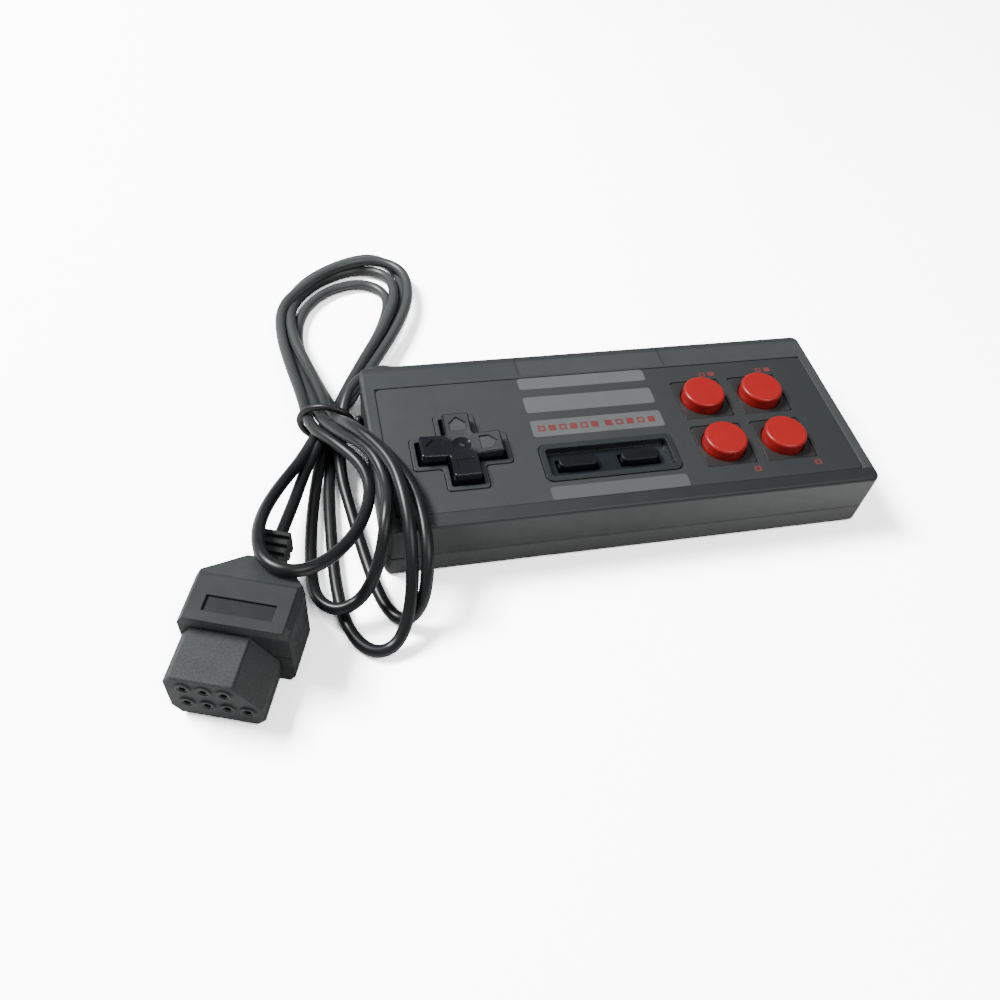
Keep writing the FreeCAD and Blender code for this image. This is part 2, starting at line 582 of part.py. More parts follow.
def make_directional_pad():
    body = new_body("directional_pad_moulding")
    flange = new_sketch(body, "pad_flange", "dims.pad_flange_bottom")
    draw_circle(flange, "dims.pad_x", "dims.pad_y", "dims.pad_flange_radius")
    pad(body, flange, "dims.pad_flange_top - dims.pad_flange_bottom")
    cross = new_sketch(body, "pad_cross", "dims.pad_flange_bottom + 0.5")
    draw_cross(cross, "dims.pad_reach", "dims.pad_arm")
    arms = pad(body, cross, "dims.pad_top - dims.pad_flange_bottom - 0.5")
    rounded = dress(body, "Fillet", arms, "dims.pad_arm_corner",
                    is_corner(size("pad_flange_top"), size("pad_top")))
    dished = dish(body, "pad_dish_cone", "0")
    dress(body, "Fillet", dished, "dims.pad_arm_edge", is_arm_rim)
    prisms = new_body("pad_arrow_prisms")
    arrows = new_sketch(prisms, "pad_arrows", "dims.pad_top - 2")
    for east, north in ((1, 0), (-1, 0), (0, 1), (0, -1)):
        corners = []
        for along, across in (("base", -1), ("shoulder", -1), ("tip", 0), ("shoulder", 1), ("base", 1)):
            sideways = "(%d) * dims.arrow_half_width" % across
            corners.append(("dims.pad_x + (%d) * dims.arrow_%s - (%d) * %s"
                            % (east, along, north, sideways),
                            "dims.pad_y + (%d) * dims.arrow_%s + (%d) * %s"
                            % (north, along, east, sideways)))
        draw_polygon(arrows, corners)
    pad(prisms, arrows, "3")
    plungers = new_sketch(body, "pad_plungers", "dims.plunger_bottom")
    for across, along in plunger_places():
        draw_circle(plungers, across, along, "dims.plunger_radius")
    pad(body, plungers, "dims.pad_flange_bottom - dims.plunger_bottom + 0.5")
    boss = new_sketch(body, "pad_boss", "dims.pivot_boss_bottom")
    draw_circle(boss, "dims.pad_x", "dims.pad_y", "dims.pivot_boss_radius")
    pad(body, boss, "dims.pad_flange_bottom - dims.pivot_boss_bottom + 0.5")

    dimple = doc.addObject("Part::Sphere", "pad_dimple")
    dimple.setExpression("Radius", "2.5 * dims.pad_dimple_radius")
    rim = "dims.pad_top - dims.pad_dish * (1 - dims.pad_dimple_radius / dims.pad_reach)"
    sphere_rise = rim + " + sqrt(5.25) * dims.pad_dimple_radius"
    set_place(dimple, "dims.pad_x", "dims.pad_y", sphere_rise)
    cup = doc.addObject("Part::Sphere", "pad_cup")
    cup.setExpression("Radius", "dims.ball_radius + dims.ball_gap")
    set_place(cup, "dims.pad_x", "dims.pad_y", "dims.pivot_height")
    floor = doc.addObject("Part::Cone", "pad_arrow_floor")
    floor.Radius1 = 0
    floor.setExpression("Radius2", "dims.pad_reach * (dims.pad_dish + 1) / dims.pad_dish")
    floor.setExpression("Height", "dims.pad_dish + 1")
    set_place(floor, "dims.pad_x", "dims.pad_y", "dims.pad_top - dims.pad_dish - dims.arrow_depth")
    engraving = doc.addObject("Part::MultiCommon", "pad_arrow_engraving")
    engraving.Shapes = [prisms, floor]
    return cut("directional_pad", body, [dimple, cup, engraving])


def make_pivot_ball():
    ball = doc.addObject("Part::Sphere", "pivot_ball")
    ball.setExpression("Radius", "dims.ball_radius")
    set_place(ball, "dims.pad_x", "dims.pad_y", "dims.pivot_height")
    return ball


def make_button(name):
    """A round button: cap, flange and the stem that stands on its dome."""
    body = new_body(name)
    profile = new_sketch(body, name + "_profile", "0", "XZ_Plane")
    draw_polygon(profile, [
        ("0", "dims.dome_top"), ("dims.stem_radius", "dims.dome_top"),
        ("dims.stem_radius", "dims.flange_bottom"), ("dims.flange_radius", "dims.flange_bottom"),
        ("dims.flange_radius", "dims.flange_top"), ("dims.button_radius", "dims.flange_top"),
        ("dims.button_radius", "dims.button_top"), ("0", "dims.button_top"),
    ])
    shape = turned(body, profile)
    dress(body, "Fillet", shape, "dims.button_edge", lies_at(size("button_top")))
    set_place(body, *button_place(name))
    return body


def make_key(name):
    """A rubber key: a rounded bar on a skirt, with a stem that stands on its dome."""
    across, along = key_place(name)
    body = new_body(name)
    half_length = "dims.key_length / 2"
    half_width = "dims.key_width / 2"

    def block(label, grow, bottom, top):
        outline = new_sketch(body, label, bottom)
        draw_rectangle(outline, "%s - %s - %s" % (across, half_length, grow),
                       "%s + %s + %s" % (across, half_length, grow),
                       "%s - %s - %s" % (along, half_width, grow),
                       "%s + %s + %s" % (along, half_width, grow))
        return pad(body, outline, "(%s) - (%s)" % (top, bottom))

    bar = block(name + "_bar", "0", "dims.key_skirt_bottom", "dims.key_top")
    ends = dress(body, "Fillet", bar, "dims.key_width * 0.45", is_upright)
    dress(body, "Fillet", ends, "0.4", lies_at(size("key_top")))
    block(name + "_skirt", "dims.key_skirt", "dims.key_skirt_bottom", "dims.key_skirt_top")
    stem = new_sketch(body, name + "_stem", "dims.dome_top")
    draw_circle(stem, across, along, "dims.stem_radius - 0.4")
    pad(body, stem, "dims.key_skirt_bottom - dims.dome_top + 0.2")
    return body


# ---------------------------------------------------------------- rubber sheets and contacts
def dome_cone(name, across, along, shrink, bottom, top):
    """A cone frustum: the outside of a dome, or its hollow when shrunk."""
    cone = doc.addObject("Part::Cone", name)
    cone.setExpression("Radius1", "dims.dome_base_radius - %s" % shrink)
    cone.setExpression("Radius2", "dims.dome_top_radius - %s" % shrink)
    cone.setExpression("Height", "(%s) - (%s)" % (top, bottom))
    set_place(cone, across, along, bottom)
    return cone


def make_dome(label, place):
    """One hollow rubber dome that stands on the sheet and carries a button."""
    bottom = BOARD_TOP + " + dims.sheet_thickness"
    outside = dome_cone(label + "_outside", *place, "0", bottom, "dims.dome_top")
    hollow = dome_cone(label + "_hollow", *place, "dims.dome_wall", bottom,
                       "dims.dome_top - dims.dome_wall")
    return cut(label, outside, [hollow])


def make_pill(label, place, bottom):
    """The carbon contact under the top of a dome."""
    pill = cylinder(label, "dims.pill_radius", *place, bottom,
                    "dims.dome_top - dims.dome_wall - 0.05")
    pill.Label = label
    return pill


def make_rubber_sheet(label, sides, places):
    """The flat web that holds domes down, with a hole under each dome."""
    web = box(label + "_web", *sides, BOARD_TOP, BOARD_TOP + " + dims.sheet_thickness")
    holes = [
        cylinder("%s_hole_%d" % (label, number), "dims.dome_base_radius - dims.dome_wall", *place,
                 BOARD_TOP + " - 1", BOARD_TOP + " + dims.sheet_thickness + 1")
        for number, place in enumerate(places, start=1)
    ]
    return cut(label, web, holes)


def make_pad_sheet():
    """The directional pad's rubber sheet, one piece with its four domes."""
    top = BOARD_TOP + " + dims.sheet_thickness"
    web = box("pad_sheet_web", "dims.pad_x - 12.3", "dims.pad_x + 12.3", "dims.pad_y - 12.3",
              "dims.pad_y + 12.3", BOARD_TOP, top)
    domes = [dome_cone("pad_dome_%d" % number, *place, "0.9", top + " - 0.3", "dims.pad_dome_top")
             for number, place in enumerate(plunger_places(), start=1)]
    hollows = [dome_cone("pad_dome_hollow_%d" % number, *place, "(0.9 + dims.dome_wall * 0.75)",
                         BOARD_TOP + " - 0.1", "dims.pad_dome_top - dims.dome_wall")
               for number, place in enumerate(plunger_places(), start=1)]
    centre = cylinder("pad_sheet_hole", "dims.pivot_post_radius + 0.4", "dims.pad_x", "dims.pad_y",
                      BOARD_TOP + " - 1", top + " + 1")
    return cut("directional_pad_rubber", join("pad_sheet_blank", [web] + domes), hollows + [centre])


def make_contacts():
    """The printed carbon contacts on the board."""
    places = [button_place(name) for name in BUTTONS] + [key_place(name) for name in KEYS]
    pads = [cylinder("contact_%d" % number, "dims.contact_radius", *place, BOARD_TOP,
                     BOARD_TOP + " + dims.contact_thickness")
            for number, place in enumerate(places, start=1)]
    pads += [cylinder("pad_contact_%d" % number, "1.6", *place, BOARD_TOP,
                      BOARD_TOP + " + dims.contact_thickness")
             for number, place in enumerate(plunger_places(), start=1)]
    return group("board_contacts", pads)


# ---------------------------------------------------------------- circuit board
def make_board():
    body = new_body("circuit_board")
    outline = new_sketch(body, "board_outline", "dims.board_bottom")
    draw_rectangle(outline, "-dims.board_length / 2", "dims.board_length / 2", "dims.board_front",
                   "dims.board_back")
    pad(body, outline, "dims.board_thickness")
    holes = new_sketch(body, "board_holes", BOARD_TOP)
    for across, along in BOARD_PINS:
        draw_circle(holes, across, along, "dims.board_pin_radius + 0.15")
    draw_circle(holes, "dims.pad_x", "dims.pad_y", "dims.pivot_post_radius + 0.3")
    pocket(body, holes, "dims.board_thickness + 0.5")
    return body


def make_chip():
    """A drop of black resin over the chip."""
    ball = doc.addObject("Part::Sphere", "chip_ball")
    ball.Radius = 9.0
    set_place(ball, "-4", "6", BOARD_TOP + " - 7.4")
    block = box("chip_block", "-12", "4", "-2", "14", BOARD_TOP, BOARD_TOP + " + 3")
    drop = doc.addObject("Part::Common", "chip_resin")
    drop.Base = ball
    drop.Tool = block
    drop.Label = "chip_resin"
    return drop


def make_small_components():
    """Chip resistors of the repeat circuit, in two rows."""
    bodies = [
        box("resistor_%d" % number, "%g" % across, "%g" % (across + 2.0), "%g" % along,
            "%g" % (along + 1.2), BOARD_TOP, BOARD_TOP + " + 0.5")
        for number, (across, along) in enumerate(
            [(left, along) for along in (3.4, 7.2) for left in (4.6, 8.2, 11.8)], start=1)
    ]
    return group("resistors", bodies)


def make_capacitor():
    can = cylinder("capacitor", "2.0", "-19.5", "5.5", BOARD_TOP, BOARD_TOP + " + 5.0")
    can.Label = "capacitor"
    return can


# ---------------------------------------------------------------- cord paths
def rounded_path(points, label):
    """Straight runs joined by tangent arcs, each arc as large as its two runs allow."""
    corners = [Vector(*point) for point in points]
    edges = []
    radii = []
    last = corners[0]
    for before, corner, after in zip(corners, corners[1:], corners[2:]):
        back = (before - corner).normalize()
        ahead = (after - corner).normalize()
        half_turn = (math.pi - back.getAngle(ahead)) / 2
        reach = 0.45 * min((before - corner).Length, (after - corner).Length)
        radius = reach / math.tan(half_turn)
        inward = (back + ahead).normalize()
        start = corner + back * reach
        middle = corner + inward * (radius / math.cos(half_turn) - radius)
        finish = corner + ahead * reach
        edges.append(Part.LineSegment(last, start).toShape())
        edges.append(Part.Arc(start, middle, finish).toShape())
        radii.append(radius)
        last = finish
    edges.append(Part.LineSegment(last, corners[-1]).toShape())
    print(label, "arc radii", " ".join("%.1f" % radius for radius in radii))
    return Part.Wire(edges)


def tube(label, points, diameter):
    """A round solid along a rounded path; its volume is its section times its length."""
    path = rounded_path(points, label)
    start = path.Edges[0].valueAt(path.Edges[0].FirstParameter)
    heading = path.Edges[0].tangentAt(path.Edges[0].FirstParameter)
    section = Part.Wire([Part.makeCircle(diameter / 2, start, heading)])
    shape = path.makePipeShell([section], True, True)
    expected = math.pi * diameter ** 2 / 4 * path.Length
    if abs(shape.Volume - expected) > 0.02 * expected:
        raise RuntimeError("%s: volume %.1f, expected %.1f" % (label, shape.Volume, expected))
    print(label, "length %.1f" % path.Length)
    return shape


def feature(label, shape):
    """A sub-part whose shape comes from Part's own functions."""
    item = doc.addObject("Part::Feature", label)
    item.Label = label
    item.Shape = shape
    return item


# The cord's uncoiled stretches, from end to end of each.
CONTROLLER_LEAD = [
    (-36.0, 29.5, 6.2), (-36.0, 35.2, 5.4), (-39.6, 40.4, 3.6), (-45.5, 42.2, 2.2),
    (-52.0, 41.2, 1.9), (-58.0, 37.2, 2.1), (-62.6, 31.6, 3.1), (-66.2, 25.6, 4.8),
]
PLUG_LEAD = [
    (-84.52, -19.40, 9.5), (-82.4, -13.3, 8.7), (-80.2, -6.0, 7.0), (-78.0, 1.5, 5.8),
    (-75.2, 8.5, 5.6),
]
LOOP_OVER_PLUG = [
    (-70.0, 7.5, 12.0), (-65.8, 0.0, 13.5), (-64.2, -8.5, 13.0), (-65.6, -17.0, 13.4),
    (-69.0, -24.3, 14.8), (-73.6, -29.3, 16.8), (-79.8, -31.3, 18.1), (-86.0, -29.5, 18.2),
    (-90.2, -24.2, 16.8), (-90.6, -16.8, 13.6), (-88.0, -9.5, 10.8), (-83.5, -2.8, 8.8),
    (-78.0, 4.0, 7.6),
]
FRONT_BUNDLE = [
    (-69.5, 9.5, 12.0), (-66.0, 1.5, 17.5), (-60.5, -7.5, 21.2), (-56.2, -17.0, 20.8),
    (-54.4, -26.0, 21.3), (-54.6, -33.4, 17.2), (-57.2, -38.6, 8.8), (-63.0, -41.2, 3.9),
    (-70.2, -37.0, 3.1), (-73.4, -27.0, 3.1), (-73.8, -14.0, 3.6), (-73.0, -1.5, 4.9),
    (-71.6, 8.0, 6.4),
]
CORD_INSIDE = [
    (-36.0, 24.0, 6.2), (-36.0, 19.2, 6.3), (-32.6, 16.2, 8.2), (-27.6, 16.0, 9.0),
]


def make_gland():
    """The gland in the back wall, with the cord's hole through it."""
    body = new_body("cord_gland")
    profile = new_sketch(body, "gland_profile", "0", "XZ_Plane")
    hole = "dims.cord_diameter / 2"
    waist = "dims.relief_radius"
    draw_polygon(profile, [
        (hole, "-dims.relief_reach"), (waist + " - 0.3", "-dims.relief_reach"),
        (waist, "-1"), (waist + " + 1", "-1"), (waist + " + 1", "-0.1"), (waist, "-0.1"),
        (waist, "dims.wall_thickness + 0.1"), (waist + " + 1", "dims.wall_thickness + 0.1"),
        (waist + " + 1", "dims.wall_thickness + 1.3"), (hole, "dims.wall_thickness + 1.3"),
    ])
    turned(body, profile)
    body.Placement = Placement(Vector(0, 0, 0), Rotation(Vector(1, 0, 0), 90))
    set_place(body, "dims.exit_x", HALF_WIDTH, "dims.split_height")
    return body


def make_wires():
    """Five cores from the end of the jacket to the board's back edge, with their solder."""
    wires = []
    joints = []
    for number in range(5):
        turn = 2 * math.pi * number / 5
        start = (-27.5, 16.0 + 0.75 * math.cos(turn), 9.0 + 0.75 * math.sin(turn))
        board_x = -27.0 + 2.4 * number
        points = [start, (-25.0 + 1.4 * number, 15.8 + 0.5 * (number % 2), 9.8),
                  (board_x + 0.6, 13.4, 9.4 + 0.3 * (number % 2)), (board_x, 11.6, 6.9)]
        wires.append(tube("core_%d" % (number + 1), points, 2 * size("wire_radius")))
        joints.append(Part.makeCone(1.0, 0.5, 1.1, Vector(board_x, 11.5, 6.4)))
    return (feature("core_wires", Part.makeCompound(wires)),
            feature("solder_joints", Part.makeCompound(joints)))


def teardrop(big, big_radius, small, small_radius, bottom, height):
    """An upright prism round two circles and the tangent lines between them."""
    big_centre = Vector(big[0], big[1], bottom)
    small_centre = Vector(small[0], small[1], bottom)
    span = big_centre - small_centre
    lean = math.acos((big_radius - small_radius) / span.Length)
    facing = math.atan2(span.y, span.x)

    def on_circle(centre, radius, turn):
        return centre + Vector(radius * math.cos(turn), radius * math.sin(turn), 0)

    ends = [facing - lean, facing + lean]
    big_points = [on_circle(big_centre, big_radius, turn) for turn in ends]
    small_points = [on_circle(small_centre, small_radius, turn) for turn in ends]
    big_top = on_circle(big_centre, big_radius, facing)
    small_end = on_circle(small_centre, small_radius, facing + math.pi)
    wire = Part.Wire([
        Part.LineSegment(small_points[0], big_points[0]).toShape(),
        Part.Arc(big_points[0], big_top, big_points[1]).toShape(),
        Part.LineSegment(big_points[1], small_points[1]).toShape(),
        Part.Arc(small_points[1], small_end, small_points[0]).toShape(),
    ])
    return Part.Face(wire).extrude(Vector(0, 0, height))


def make_rear_loops():
    """The outer shape of the hank's rear loops: a thick open teardrop."""
    outer = teardrop((-60.0, 69.5), 20.0, (-69.0, 27.0), 6.0, 0.0, 9.0)
    inner = teardrop((-59.5, 69.5), 11.0, (-66.4, 38.0), 1.6, -1.0, 11.0)
    return feature("cord_rear_loops", outer.cut(inner))


def make_waist():
    """The outer shape of the strands where the tie holds them."""
    barrel = Part.makeCylinder(6.3, 15.0, Vector(-72.6, 6.6, 6.6), Vector(0.17, 0.98, 0))
    ends = [edge for edge in barrel.Edges if edge.Curve.TypeId == "Part::GeomCircle"]
    return feature("cord_waist", barrel.makeFillet(2.2, ends))


def make_tie():
    """The wire tie: a ring round the waist and its two twisted ends."""
    ring = Part.makeTorus(6.9, 0.65, Vector(-71.4, 13.6, 7.6), Vector(0.30, 0.95, 0.1))
    tail = Part.makeCylinder(0.8, 6.0, Vector(-64.9, 11.5, 7.4), Vector(0.25, 0.8, -0.55))
    return feature("wire_tie", ring.fuse(tail))


# ---------------------------------------------------------------- plug
def place_in_plug(item):
    """Turns a piece drawn in the plug's own frame to where the plug lies."""
    turn = Rotation(Vector(0, 0, 1), size("plug_turn"))
    item.Placement = Placement(Vector(size("plug_x"), size("plug_y"), 0), turn)
    return item


def nose_outline(grow):
    """The keyed outline of the plug's nose: across and height, as expressions."""
    left = "dims.nose_left - %s" % grow
    right = "dims.nose_right + %s" % grow
    bottom = "dims.nose_bottom - %s" % grow
    top = "dims.nose_top + %s" % grow
    return [
        (left + " + 1.8", bottom), (right + " - 1.8", bottom), (right, bottom + " + 2.2"),
        (right, "7.9"), ("3.2 + 0.5 * %s" % grow, top), (left + " + 1.8", top),
        (left, top + " - 2.6"), (left, bottom + " + 2.8"),
    ]


def make_plug_shell(label, upper):
    """Half of the plug's housing, above or below its middle."""
    body = new_body(label + "_blank")
    half = "dims.plug_height / 2"
    outline = new_sketch(body, label + "_outline", half)
    draw_polygon(outline, [
        ("-dims.plug_half_width", "0"), ("dims.plug_half_width", "0"),
        ("dims.plug_half_width", "dims.plug_straight"), ("dims.plug_tail_half", "dims.plug_depth"),
        ("-dims.plug_tail_half", "dims.plug_depth"), ("-dims.plug_half_width", "dims.plug_straight"),
    ])
    block = pad(body, outline, half, downward=not upper)
    dress(body, "Chamfer", block, "dims.plug_seam", lies_at(size("plug_height") / 2))
    face = "dims.plug_height" if upper else "0"
    inward = "-" if upper else "+"
    slope = new_sketch(body, label + "_slope", "-dims.plug_half_width - 1", "YZ_Plane")
    draw_polygon(slope, [
        ("dims.plug_slope_start", face),
        ("dims.plug_depth + 0.1", "%s %s dims.plug_tail_rise" % (face, inward)),
        ("dims.plug_depth + 0.1", "%s %s (-1)" % (face, inward)),
        ("dims.plug_slope_start", "%s %s (-1)" % (face, inward)),
    ])
    pocket(body, slope, "2 * dims.plug_half_width + 2", upward=True)
    for side in ("-", ""):
        bevel = new_sketch(body, "%s_bevel_%s" % (label, "left" if side else "right"), "1", "XZ_Plane")
        edge = side + "dims.plug_half_width"
        toward = "+" if side else "-"
        draw_polygon(bevel, [
            ("%s %s dims.plug_bevel_side" % (edge, toward), face),
            (edge, "%s %s dims.plug_bevel_top" % (face, inward)),
            ("%s %s (-1)" % (edge, toward), face),
            (edge, "%s %s (-1)" % (face, inward)),
        ])
        pocket(body, bevel, "dims.plug_depth + 2")

    low, high = (half, "dims.plug_height - dims.plug_wall - 0.5") if upper else \
        ("dims.plug_wall + 0.5", half)
    hollow = box(label + "_hollow", "-9.5", "9.5", "dims.plug_wall", "13", low, high)
    tools = [hollow]
    window = new_body(label + "_nose_window")
    sketch = new_sketch(window, label + "_window_outline", "-3", "XZ_Plane")
    draw_polygon(sketch, nose_outline("0.05"))
    pad(window, sketch, "5")
    tools.append(window)
    tail = box(label + "_tail_hole", "-2.15", "2.15", "12.9", "dims.plug_depth + 1",
               half + " - 2.15", half + " + 2.15")
    tools.append(tail)
    for number, side in enumerate(("-", ""), start=1):
        across = side + "dims.plug_screw_x"
        tools.append(cylinder("%s_pilot_%d" % (label, number), "1.0", across, "dims.plug_screw_y",
                              "2", "14"))
        if not upper:
            tools.append(cylinder("%s_sink_%d" % (label, number), "2.0", across,
                                  "dims.plug_screw_y", "-1", "5.2"))
    if upper:
        tools.append(box("plug_badge_recess", "-7.1", "7.4", "2.5", "6.2", "dims.plug_height - 0.5",
                         "dims.plug_height + 1"))
    return place_in_plug(cut(label, body, tools))


def socket_places():
    """Across and height of the seven sockets: four below, three above."""
    for count, height in ((4, "dims.socket_low"), (3, "dims.socket_high")):
        for column in range(count):
            yield "dims.socket_left + %d * dims.socket_pitch" % column, height


def make_nose():
    body = new_body("plug_nose_blank")
    outline = new_sketch(body, "nose_outline", "-2", "XZ_Plane")
    draw_polygon(outline, nose_outline("0"))
    block = pad(body, outline, "dims.nose_length + 2")
    front = -size("nose_length")
    dress(body, "Fillet", block, "0.5", lambda edge: abs(edge.BoundBox.YMin - front) < 1e-6
          and edge.BoundBox.YLength < 1e-6)
    places = list(enumerate(socket_places(), start=1))
    collars = [bar_along("socket_rim_%d" % number, "dims.socket_rim_radius", across, height,
                         "-dims.nose_length - dims.socket_rim_height", "-dims.nose_length + 1")
               for number, (across, height) in places]
    holes = [bar_along("socket_%d" % number, "dims.socket_radius", across, height,
                       "-dims.nose_length - 1", "3")
             for number, (across, height) in places]
    return place_in_plug(cut("plug_nose", join("plug_nose_collared", [body] + collars), holes))


def make_plug_contacts():
    """Seven metal sockets, each a blind tube with a tail for its core."""
    contacts = []
    mouth = "-dims.nose_length - dims.socket_rim_height + 0.15"
    for number, (across, height) in enumerate(socket_places(), start=1):
        barrel = bar_along("contact_barrel_%d" % number, "dims.contact_outer", across, height,
                           mouth, "3.2")
        tail = bar_along("contact_tail_%d" % number, "0.5", across, height, "3", "6.5")
        bore = bar_along("contact_bore_%d" % number, "dims.contact_inner", across, height,
                         mouth + " - 1", mouth + " + dims.contact_depth")
        contacts.append(cut("contact_piece_%d" % number,
                            join("contact_blank_%d" % number, [barrel, tail]), [bore]))
    return place_in_plug(group("plug_contacts", contacts))


def make_plug_tail():
    """The slotted strain relief at the plug's back."""
    middle = "dims.plug_height / 2"
    block = box("tail_block", "-dims.tail_half_width", "dims.tail_half_width", "dims.plug_depth + 0.05",
                "dims.tail_end", "%s - dims.tail_half_width" % middle,
                "%s + dims.tail_half_width" % middle)
    neck = box("tail_neck", "-2.1", "2.1", "14.5", "dims.plug_depth + 0.5", middle + " - 2.1",
               middle + " + 2.1")
    hole = bar_along("tail_hole", "dims.cord_diameter / 2", "0", middle, "14", "dims.tail_end + 1")
    slots = []
    for number in range(3):
        front = "dims.plug_depth + %g" % (1.3 + 2.3 * number)
        for side in (-1, 1):
            low = "%s + %g" % (middle, 2.0 if side > 0 else -4.0)
            high = "%s + %g" % (middle, 4.0 if side > 0 else -2.0)
            slots.append(box("tail_slot_%d_%d" % (number, side), "-2.3", "4", front,
                             front + " + 1.0", low, high))
    blank = join("tail_blank", [block, neck])
    return place_in_plug(cut("plug_strain_relief", blank, [hole] + slots))


def make_plug_screws():
    screws = []
    for number, side in enumerate(("-", ""), start=1):
        across = side + "dims.plug_screw_x"
        head = cylinder("plug_screw_head_%d" % number, "1.8", across, "dims.plug_screw_y", "3.9", "5.15")
        shank = cylinder("plug_screw_shank_%d" % number, "0.95", across, "dims.plug_screw_y", "5",
                         "13.5")
        screws.append(join("plug_screw_%d" % number, [head, shank]))
    return place_in_plug(group("plug_screws", screws))


# ---------------------------------------------------------------- the assembly
nodes = [make_top_casing(), make_bottom_casing(), make_casing_screws(), make_label_plate(),
         make_directional_pad(), make_pivot_ball(), make_pad_sheet()]
for button in BUTTONS:
    nodes.append(make_button(button))
    nodes.append(make_dome(button + "_dome", button_place(button)))
    nodes.append(make_pill(button + "_pill", button_place(button), "dims.pill_bottom"))
for key in KEYS:
    nodes.append(make_key(key))
    nodes.append(make_dome(key + "_dome", key_place(key)))
    nodes.append(make_pill(key + "_pill", key_place(key), "dims.key_pill_bottom"))
middle_x = "dims.button_x + dims.button_pitch_x / 2"
middle_y = "dims.button_y + dims.button_pitch_y / 2"
nodes.append(make_rubber_sheet(
    "button_rubber", (middle_x + " - 15", middle_x + " + 15", middle_y + " - 15", middle_y + " + 15"),
    [button_place(name) for name in BUTTONS]))
nodes.append(make_rubber_sheet(
    "key_rubber", ("dims.key_x - 7", "dims.key_x + dims.key_pitch + 7", "dims.key_y - 5.8",
                   "dims.key_y + 5.8"), [key_place(name) for name in KEYS]))
nodes += [make_contacts(), make_board(), make_chip(), make_small_components(), make_capacitor(),
          make_gland(), *make_wires(),
          make_plug_shell("plug_upper_shell", True), make_plug_shell("plug_lower_shell", False),
          make_nose(), make_plug_contacts(), make_plug_tail(), make_plug_screws()]
cord = size("cord_diameter")
nodes += [feature("cord_inside", tube("cord_inside", CORD_INSIDE, cord)),
          feature("cord_controller_lead", tube("cord_controller_lead", CONTROLLER_LEAD, cord)),
          feature("cord_plug_lead", tube("cord_plug_lead", PLUG_LEAD, cord)),
          feature("cord_loop_over_plug", tube("cord_loop_over_plug", LOOP_OVER_PLUG, cord)),
          feature("cord_front_loops", tube("cord_front_loops", FRONT_BUNDLE, size("bundle_diameter"))),
          make_rear_loops(), make_waist(), make_tie()]
doc.recompute()

# ---------------------------------------------------------------- checks and export
for item in doc.Objects:
    if "Invalid" in item.State or "Error" in item.State:
        raise RuntimeError("%s: %s" % (item.Name, item.State))
for node in nodes:
    if node.Shape.isNull() or not node.Shape.isValid():
        raise RuntimeError(node.Label + " has no valid shape")
    if not node.Shape.Solids:
        raise RuntimeError(node.Label + " has no solid")
os.makedirs("parts", exist_ok=True)
for node in nodes:
    node.Shape.exportStep("parts/%s.step" % node.Label)
print(len(nodes), "nodes written")
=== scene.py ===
"""Looks of the wired game controller: cord, print, materials, light and camera."""
import math

import bmesh
import bpy
from mathutils import Matrix, Vector


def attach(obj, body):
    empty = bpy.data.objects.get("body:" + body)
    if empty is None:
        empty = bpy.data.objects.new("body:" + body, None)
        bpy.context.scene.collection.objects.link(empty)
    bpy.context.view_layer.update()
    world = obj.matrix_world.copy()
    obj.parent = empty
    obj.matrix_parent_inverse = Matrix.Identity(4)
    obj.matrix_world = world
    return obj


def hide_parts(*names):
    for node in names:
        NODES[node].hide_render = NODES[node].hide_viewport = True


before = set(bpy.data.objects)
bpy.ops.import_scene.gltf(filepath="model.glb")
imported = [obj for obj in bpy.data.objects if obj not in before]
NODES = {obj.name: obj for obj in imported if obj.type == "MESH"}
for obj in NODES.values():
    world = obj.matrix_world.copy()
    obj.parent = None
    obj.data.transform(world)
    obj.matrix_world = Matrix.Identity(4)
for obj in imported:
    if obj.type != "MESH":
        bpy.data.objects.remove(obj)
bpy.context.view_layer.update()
MM = 0.001
BASE = "controller"
PAD_CENTRE = (-0.0405, -0.0049, 0)
PAD_TOP = 0.0200
PAD_DISH_DEPTH = 0.00075
PAD_REACH = 0.0099
PLUG_PLACE = (-0.0943, -0.0467, 0)
PLUG_TURN_DEGREES = -19.7


